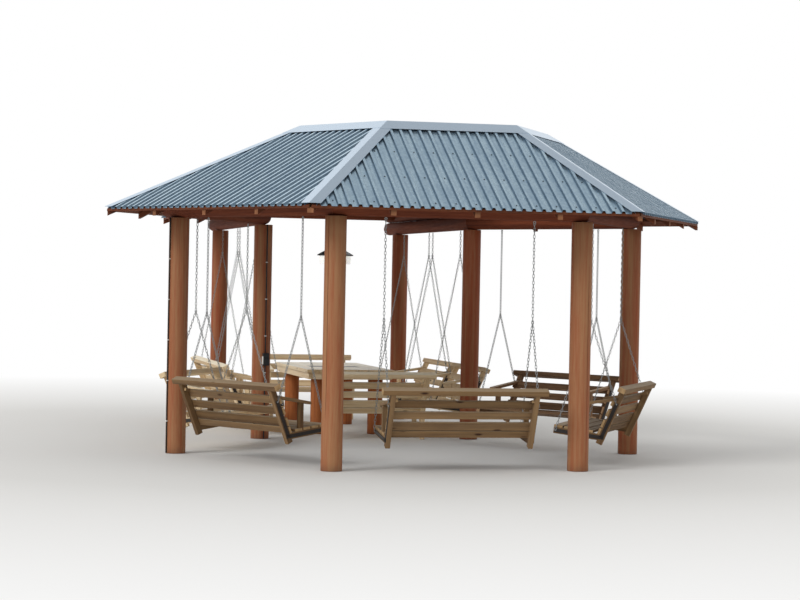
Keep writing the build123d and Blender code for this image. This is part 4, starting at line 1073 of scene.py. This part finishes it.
def ring_patch(centre, axis_a, axis_b, wire):
    """Ring: centre + (radius + wire cos b)(cos a axis_a + sin a axis_b) + wire sin b normal."""
    a = np.linspace(0, 2 * np.pi, 16, endpoint=False)[:, None, None]
    b = np.linspace(0, 2 * np.pi, 6, endpoint=False)[None, :, None]
    out = np.cos(a) * axis_a + np.sin(a) * axis_b
    verts = centre + out * (RING_RADIUS + wire * np.cos(b)) + wire * np.sin(b) * np.cross(axis_a, axis_b)
    faces = grid_faces(16, 6, wrap=True, closed=True)[:, ::-1]
    return patch(verts.reshape(-1, 3), faces, np.zeros((len(faces) * 4, 2)))


# %% Hangers of a swing
def hanger_patches(base, facing, length, ring_height):
    """Both hangers of a swing: eye, ring, three runs of chain and the strap on the bench's end."""
    made = []
    heel, middle = np.array([-HEEL_SETBACK, SWING_HEEL]), FRAME_DEPTH / 2
    strap_top = heel + back_way * STRAP_UP + np.array([-back_way[1], back_way[0]]) * middle
    strap_tip = heel + seat_way * STRAP_OUT + np.array([seat_way[1], -seat_way[0]]) * middle
    hook, ring = np.array([0.0, EYE_LEVEL]), np.array([0.0, ring_height])
    low, high = middle - STRAP_WIDTH / 2, middle + STRAP_WIDTH / 2
    forward, across = flat3(facing), flat3((facing[1], -facing[0]))

    def spot(point, reach):
        return flat3(base) + forward * point[0] + across * reach + upward * point[1]

    for side in (-1, 1):
        inner = side * (length / 2 + GAP)
        outer = inner + side * STRAP_THICK
        for section in (strip(heel, back_way, -middle, STRAP_UP + STRAP_PAST, low, high),
                        strip(heel, seat_way, -high, STRAP_OUT + STRAP_PAST, -high, -low)):
            made.append(plank(base, facing, section, *sorted((inner, outer)), 0.5, skin=1))
        reach = outer + side * (CHAIN / 2 - 0.001)
        for a, b in ((hook, ring), (ring, strap_top), (ring, strap_tip)):
            made.append(chain_patch(spot(a, reach), spot(b, reach), across))
        made.append(ring_patch(spot(ring, reach), forward, upward, RING_WIRE))
        made.append(ring_patch(spot(hook - (0, 0.006), reach), across, upward, EYE_WIRE))
        turn = np.stack([forward, upward * side, across * side], axis=1)
        made.extend(scatter(*bolt, spot(point, outer)[None], turn[None]) for point in (strap_top, strap_tip))
    return made


for name, spot, facing, length, ring_height in swings:
    hangers = hanger_patches(spot, facing, length, ring_height)
    make_piece(f"swing_chains_{name}", hangers, [chain_zinc, strap_black],
               ["hangers_" + name], smooth=0, body="swing_" + name)

# %% [markdown]
# ## Table
#
# The table is seven pale boards on a frame of rails, over four short logs. The dark patch on its top has no
# shape of its own: it is drawn in the finish.

# %% Table
TABLE_LENGTH, TABLE_WIDTH, TABLE_HEIGHT, TABLE_BOARD, TABLE_BOARDS = 2.150, 1.000, 0.735, 0.040, 7
TABLE_GAP, TABLE_MISFIT = 0.006, 0.006
APRON_DEPTH, APRON_THICK, APRON_SETBACK, LEG_RADIUS, LEG_INSET = 0.070, 0.045, 0.020, 0.085, (0.170, 0.230)
table = hall_centre + (-0.060, 3.640)
apron_top = TABLE_HEIGHT - TABLE_BOARD
rng = np.random.default_rng(7)


def block(low, high, tone):
    """Upright box from its low and high corners, as one board along its longest side."""
    low, high = np.array(low, float), np.array(high, float)
    axis = int(np.argmax(high - low))
    a, b = (i for i in range(3) if i != axis)
    ends = np.zeros((2, 4, 3))
    ends[:, :, axis] = np.array([low, high])[:, [axis]]
    ends[:, :, a] = np.array([low, high, high, low])[:, a]
    ends[:, :, b] = np.array([low, low, high, high])[:, b]
    return board_patch(ends, tone)


def table_block(x0, x1, y0, y1, z0, z1, tone):
    """Block placed from the middle of the table."""
    return block((table[0] + x0, table[1] + y0, z0), (table[0] + x1, table[1] + y1, z1), tone)


half_x, half_y = TABLE_WIDTH / 2, TABLE_LENGTH / 2
width = (TABLE_WIDTH - (TABLE_BOARDS - 1) * TABLE_GAP) / TABLE_BOARDS
tops = []
for k in range(TABLE_BOARDS):
    x = k * (width + TABLE_GAP) - half_x
    near, far = rng.uniform(0, TABLE_MISFIT) - half_y, half_y - rng.uniform(0, TABLE_MISFIT)
    tops.append(table_block(x, x + width, near, far, apron_top, TABLE_HEIGHT - rng.uniform(0, 0.001),
                            rng.uniform(0.1, 0.9)))
outer_x, outer_y = half_x - APRON_SETBACK, half_y - APRON_SETBACK
inner_x, half = outer_x - APRON_THICK, APRON_THICK / 2
rails = [(-outer_x, -inner_x, -outer_y, outer_y, 0.4), (inner_x, outer_x, -outer_y, outer_y, 0.4)]
rails += [(-inner_x, inner_x, y - half, y + half, 0.6) for y in (half - outer_y, 0.0, outer_y - half)]
tops += [table_block(*edges, apron_top - APRON_DEPTH, apron_top - 0.0004, tone) for *edges, tone in rails]
soften(make_piece("table_boards", tops, [table_wood], ["table_top"], smooth=0))
legs = []
for number, (sx, sy) in enumerate(((-1, -1), (-1, 1), (1, -1), (1, 1))):
    foot = table + (sx * (half_x - LEG_INSET[0]), sy * (half_y - LEG_INSET[1]))
    legs.append(log_patch(flat3(foot), flat3(foot, apron_top - GAP), LEG_RADIUS, tone=0.5, seed=130 + number,
                          cracks=((250 + 30 * number, 0.1, 0.5, 0.006),)))
make_piece("table_log_legs", legs, [leg_wood], ["table_legs"], smooth=50)


# %% [markdown]
# ## Lantern, cables and socket
#
# Behind the front left post a lantern hangs on a short arm: a black cone over an opal glass. Its shapes
# are turned profiles. Two cables run down posts under white clips, and one feeds a weatherproof socket.

# %% Lantern
LANTERN_TURN, LANTERN_REACH, LANTERN_LEVEL, LANTERN_HEIGHT = 79, 0.285, 1.968, 0.095
ARM_START, ARM_END, ARM_HALF, LANTERN_AROUND = 0.1003, 0.290, 0.008, 48
lantern_way = tilt(LANTERN_TURN)
lantern = hall[1] + lantern_way * LANTERN_REACH


def lantern_patch(radii, levels):
    """Turned profile on the lantern's axis, with a UV round it."""
    verts, faces = turned_shape(radii, levels, LANTERN_AROUND)
    along = np.broadcast_to(np.array(levels)[:, None], (len(radii), LANTERN_AROUND + 1))
    round_uv = np.broadcast_to(np.linspace(0, 2 * np.pi, LANTERN_AROUND + 1) * max(radii), along.shape)
    return patch(verts + flat3(lantern, LANTERN_LEVEL), faces, grid_uv(along, round_uv))


arm_level = LANTERN_LEVEL + LANTERN_HEIGHT - 2 * ARM_HALF
side_way = np.array([-lantern_way[1], lantern_way[0]])
arm = board_patch([[flat3(hall[1] + lantern_way * reach + side_way * a * ARM_HALF, arm_level + b * ARM_HALF)
                    for a, b in ((-1, -1), (1, -1), (1, 1), (-1, 1))] for reach in (ARM_START, ARM_END)], 0.5)
hood = lantern_patch((0.0005, 0.150, 0.166, 0.168, 0.167, 0.110, 0.036, 0.030, 0.016, 0.012, 0.0005),
                     (0.004, 0.004, 0.000, 0.003, 0.008, 0.040, 0.082, 0.088, 0.090, 0.0945, 0.095))
make_piece("lantern_hood", [hood, arm], [enamel], ["lantern_cap"], smooth=30)
bowl = lantern_patch((0.0005, 0.060, 0.062, 0.140, 0.1425, 0.150, 0.147, 0.0005),
                     (-0.0815, -0.0815, -0.078, -0.078, -0.074, -0.004, -0.0005, -0.0005))
make_piece("lantern_bowl", [bowl], [opal], ["lantern_glass"], smooth=30)
foot = lantern_patch((0.0005, 0.045, 0.052, 0.052, 0.0005), (-0.0950, -0.0945, -0.0900, -0.0818, -0.0818))
make_piece("lantern_foot", [foot], [enamel], smooth=30)

# %% Cables, their clips, and the socket
CABLE_RADIUS, CABLE_AXIS, CABLE_FOOT = 0.0068, 0.007, 0.006
CLIP_HALF, CLIP_FIRST, CLIP_STEP, CLIP_MARGIN = 0.005, 0.32, 0.40, 0.03
SOCKET_LOW, SOCKET_HIGH, SOCKET_TURN, CABLE_TOP = 0.7957, 0.9363, -75, POST_HEIGHT - GAP


def post_box(centre, out, corners, low, high, skin=0):
    """Upright box by a post: corners (across, outward) from a centre, between two heights."""
    across = np.array([-out[1], out[0]])
    ring = [centre + across * a + out * b for a, b in corners]
    return board_patch([[flat3(corner, z) for corner in ring] for z in (low, high)], 0.5, skin)


cables, clips = [], []
clip_corners = ((-0.012, -0.0068), (0.012, -0.0068), (0.0095, 0.0088), (-0.0095, 0.0088))
for spot, turn, low, high in ((hall[0], 205, CABLE_FOOT, CABLE_TOP),
                              (hall[5], SOCKET_TURN, CABLE_FOOT, SOCKET_LOW),
                              (hall[5], SOCKET_TURN, SOCKET_HIGH, CABLE_TOP)):
    away = tilt(turn)
    line = spot + away * (POST_RADIUS + CABLE_AXIS + GAP)
    cables.append(log_patch(flat3(line, low), flat3(line, high), CABLE_RADIUS, seed=5, around=14))
    clips.extend(post_box(line, away, clip_corners, z - CLIP_HALF, z + CLIP_HALF)
                 for z in np.arange(CLIP_FIRST, POST_HEIGHT - 0.1, CLIP_STEP)
                 if low + CLIP_MARGIN < z < high - CLIP_MARGIN)
make_piece("cable_runs", cables, [cable_black], ["power_cables"], smooth=50)
soften(make_piece("cable_clips", clips, [clip_white], smooth=0), 0.0012, 1)

back_of_box = hall[5] + away * (POST_RADIUS + GAP)
socket_parts = {
    "box": (-0.0300, 0.0375, 0.0000, 0.032, 0.798, 0.9345, 0),
    "white_side": (-0.0375, -0.0305, 0.0020, 0.034, 0.812, 0.900, 1),
    "lid": (-0.0250, 0.0335, 0.0325, 0.047, 0.804, 0.880, 0),
    "lid_panel": (-0.0215, 0.0300, 0.0475, 0.054, 0.810, 0.870, 0),
    "cable_entry": (-0.0240, 0.0320, 0.0325, 0.043, 0.885, 0.930, 0),
}
sockets = [post_box(back_of_box, away, ((a0, b0), (a1, b0), (a1, b1), (a0, b1)), low, high, skin)
           for a0, a1, b0, b1, low, high, skin in socket_parts.values()]
soften(make_piece("weatherproof_socket", sockets, [socket_black, clip_white],
                  ["socket_box"], smooth=0))

# %% [markdown]
# ## Camera
#
# The photograph was taken from far off with a long lens, a little to the left. The camera's matrix comes
# from three angles: a turn from straight ahead, a small tilt, and a small roll.

# %% Camera
CAMERA_SPOT, CAMERA_ANGLES, CAMERA_LENS = (-5.124, -23.768, 1.749), (12.843, -0.496, 1.119), 100.55
yaw, pitch, roll = np.radians(CAMERA_ANGLES)
look = np.array([np.sin(yaw) * np.cos(pitch), np.cos(yaw) * np.cos(pitch), np.sin(pitch)])
right = np.array([np.cos(yaw), -np.sin(yaw), 0.0])
above = np.cross(right, look)
rolled_right = right * np.cos(roll) + above * np.sin(roll)
rolled_up = above * np.cos(roll) - right * np.sin(roll)
pose = np.eye(4)
pose[:3] = np.stack([rolled_right, rolled_up, -look, CAMERA_SPOT], axis=1)
camera = link_object("camera", bpy.data.cameras.new("camera"))
camera.data.lens, camera.data.sensor_width, camera.data.clip_end = CAMERA_LENS, 36.0, 200.0
camera.matrix_world = Matrix(pose.tolist())
scene.camera = camera
print("camera", CAMERA_SPOT)

# %% [markdown]
# ## Floor and light
#
# A pale floor carries the shadow and fades to white away from the gazebo, by its own place and for camera
# and mirror rays only. The light is plain and soft: an even world, and one large soft sun from the upper
# left. Metal mirrors a white world low behind the gazebo, and a darker one above it and behind the camera.

# %% Floor
FLOOR_RINGS, FLOOR_AROUND, FLOOR_DROP, FADE = (0.01, 8.0, 20.0, 60.0), 64, 0.001, (6.0, 15.0)
WHITE = (1, 1, 1, 1)
floor_verts, floor_faces = turned_shape(FLOOR_RINGS, (-FLOOR_DROP,) * 4, FLOOR_AROUND)
floor_mesh = bpy.data.meshes.new("studio_floor")
floor_mesh.from_pydata(floor_verts.tolist(), [], floor_faces.tolist() + [list(range(FLOOR_AROUND))[::-1]])
if floor_mesh.polygons[0].normal.z < 0:
    floor_mesh.flip_normals()
floor = link_object("studio_floor", floor_mesh)
floor_paint, w, shader = new_material("studio_floor", {"Base Color": linear(214, 213, 210), "Roughness": 0.9})
far_off = w.ramp(w.vector("LENGTH", w.add("ShaderNodeTexCoord", 3), out=1), *FADE)
rays = w.tree.nodes.new("ShaderNodeLightPath")
seen = w.math("MAXIMUM", rays.outputs["Is Camera Ray"], rays.outputs["Is Glossy Ray"])
glow = w.add("ShaderNodeEmission", sockets={"Color": WHITE, "Strength": 1.0})
blend = w.add("ShaderNodeMixShader", sockets={0: w.times(far_off, seen), 1: shader.outputs[0], 2: glow})
w.tree.links.new(blend, next(n for n in w.tree.nodes if n.type == "OUTPUT_MATERIAL").inputs[0])
floor.data.materials.append(floor_paint)

# %% Light
world = bpy.data.worlds.new("studio")
scene.world = world
world.use_nodes = True
world.node_tree.nodes.clear()
w = Wiring(world.node_tree)
rays = w.tree.nodes.new("ShaderNodeLightPath")
away = w.add("ShaderNodeSeparateXYZ", 1, {0: w.add("ShaderNodeTexCoord", 0)})
rise = w.add("ShaderNodeSeparateXYZ", 2, {0: w.add("ShaderNodeTexCoord", 0)})
mirrored = w.times(w.ramp(away, -0.6, 0.5, 0.5, 1.0), w.ramp(rise, 0.6, 0.8, 1.0, 0.4))
lit = w.ramp(rise, -0.1, 0.9, 0.38, 1.0)
strength = w.math("MAXIMUM", rays.outputs["Is Camera Ray"], w.add("ShaderNodeMix", sockets={
    0: rays.outputs["Is Glossy Ray"], 2: lit, 3: mirrored}))
strength = w.math("MAXIMUM", strength, rays.outputs["Is Transmission Ray"])
sky = w.add("ShaderNodeBackground", sockets={"Color": WHITE, "Strength": strength})
w.tree.links.new(sky, w.tree.nodes.new("ShaderNodeOutputWorld").inputs[0])
sun = link_object("soft_sun", bpy.data.lights.new("soft_sun", "SUN"))
sun.data.energy, sun.data.angle = 1.35, np.radians(25)
sun.rotation_euler = Vector((-0.72, -0.45, 0.52)).to_track_quat("Z", "Y").to_euler()
scene.view_settings.view_transform = "Standard"
print("lights ready")
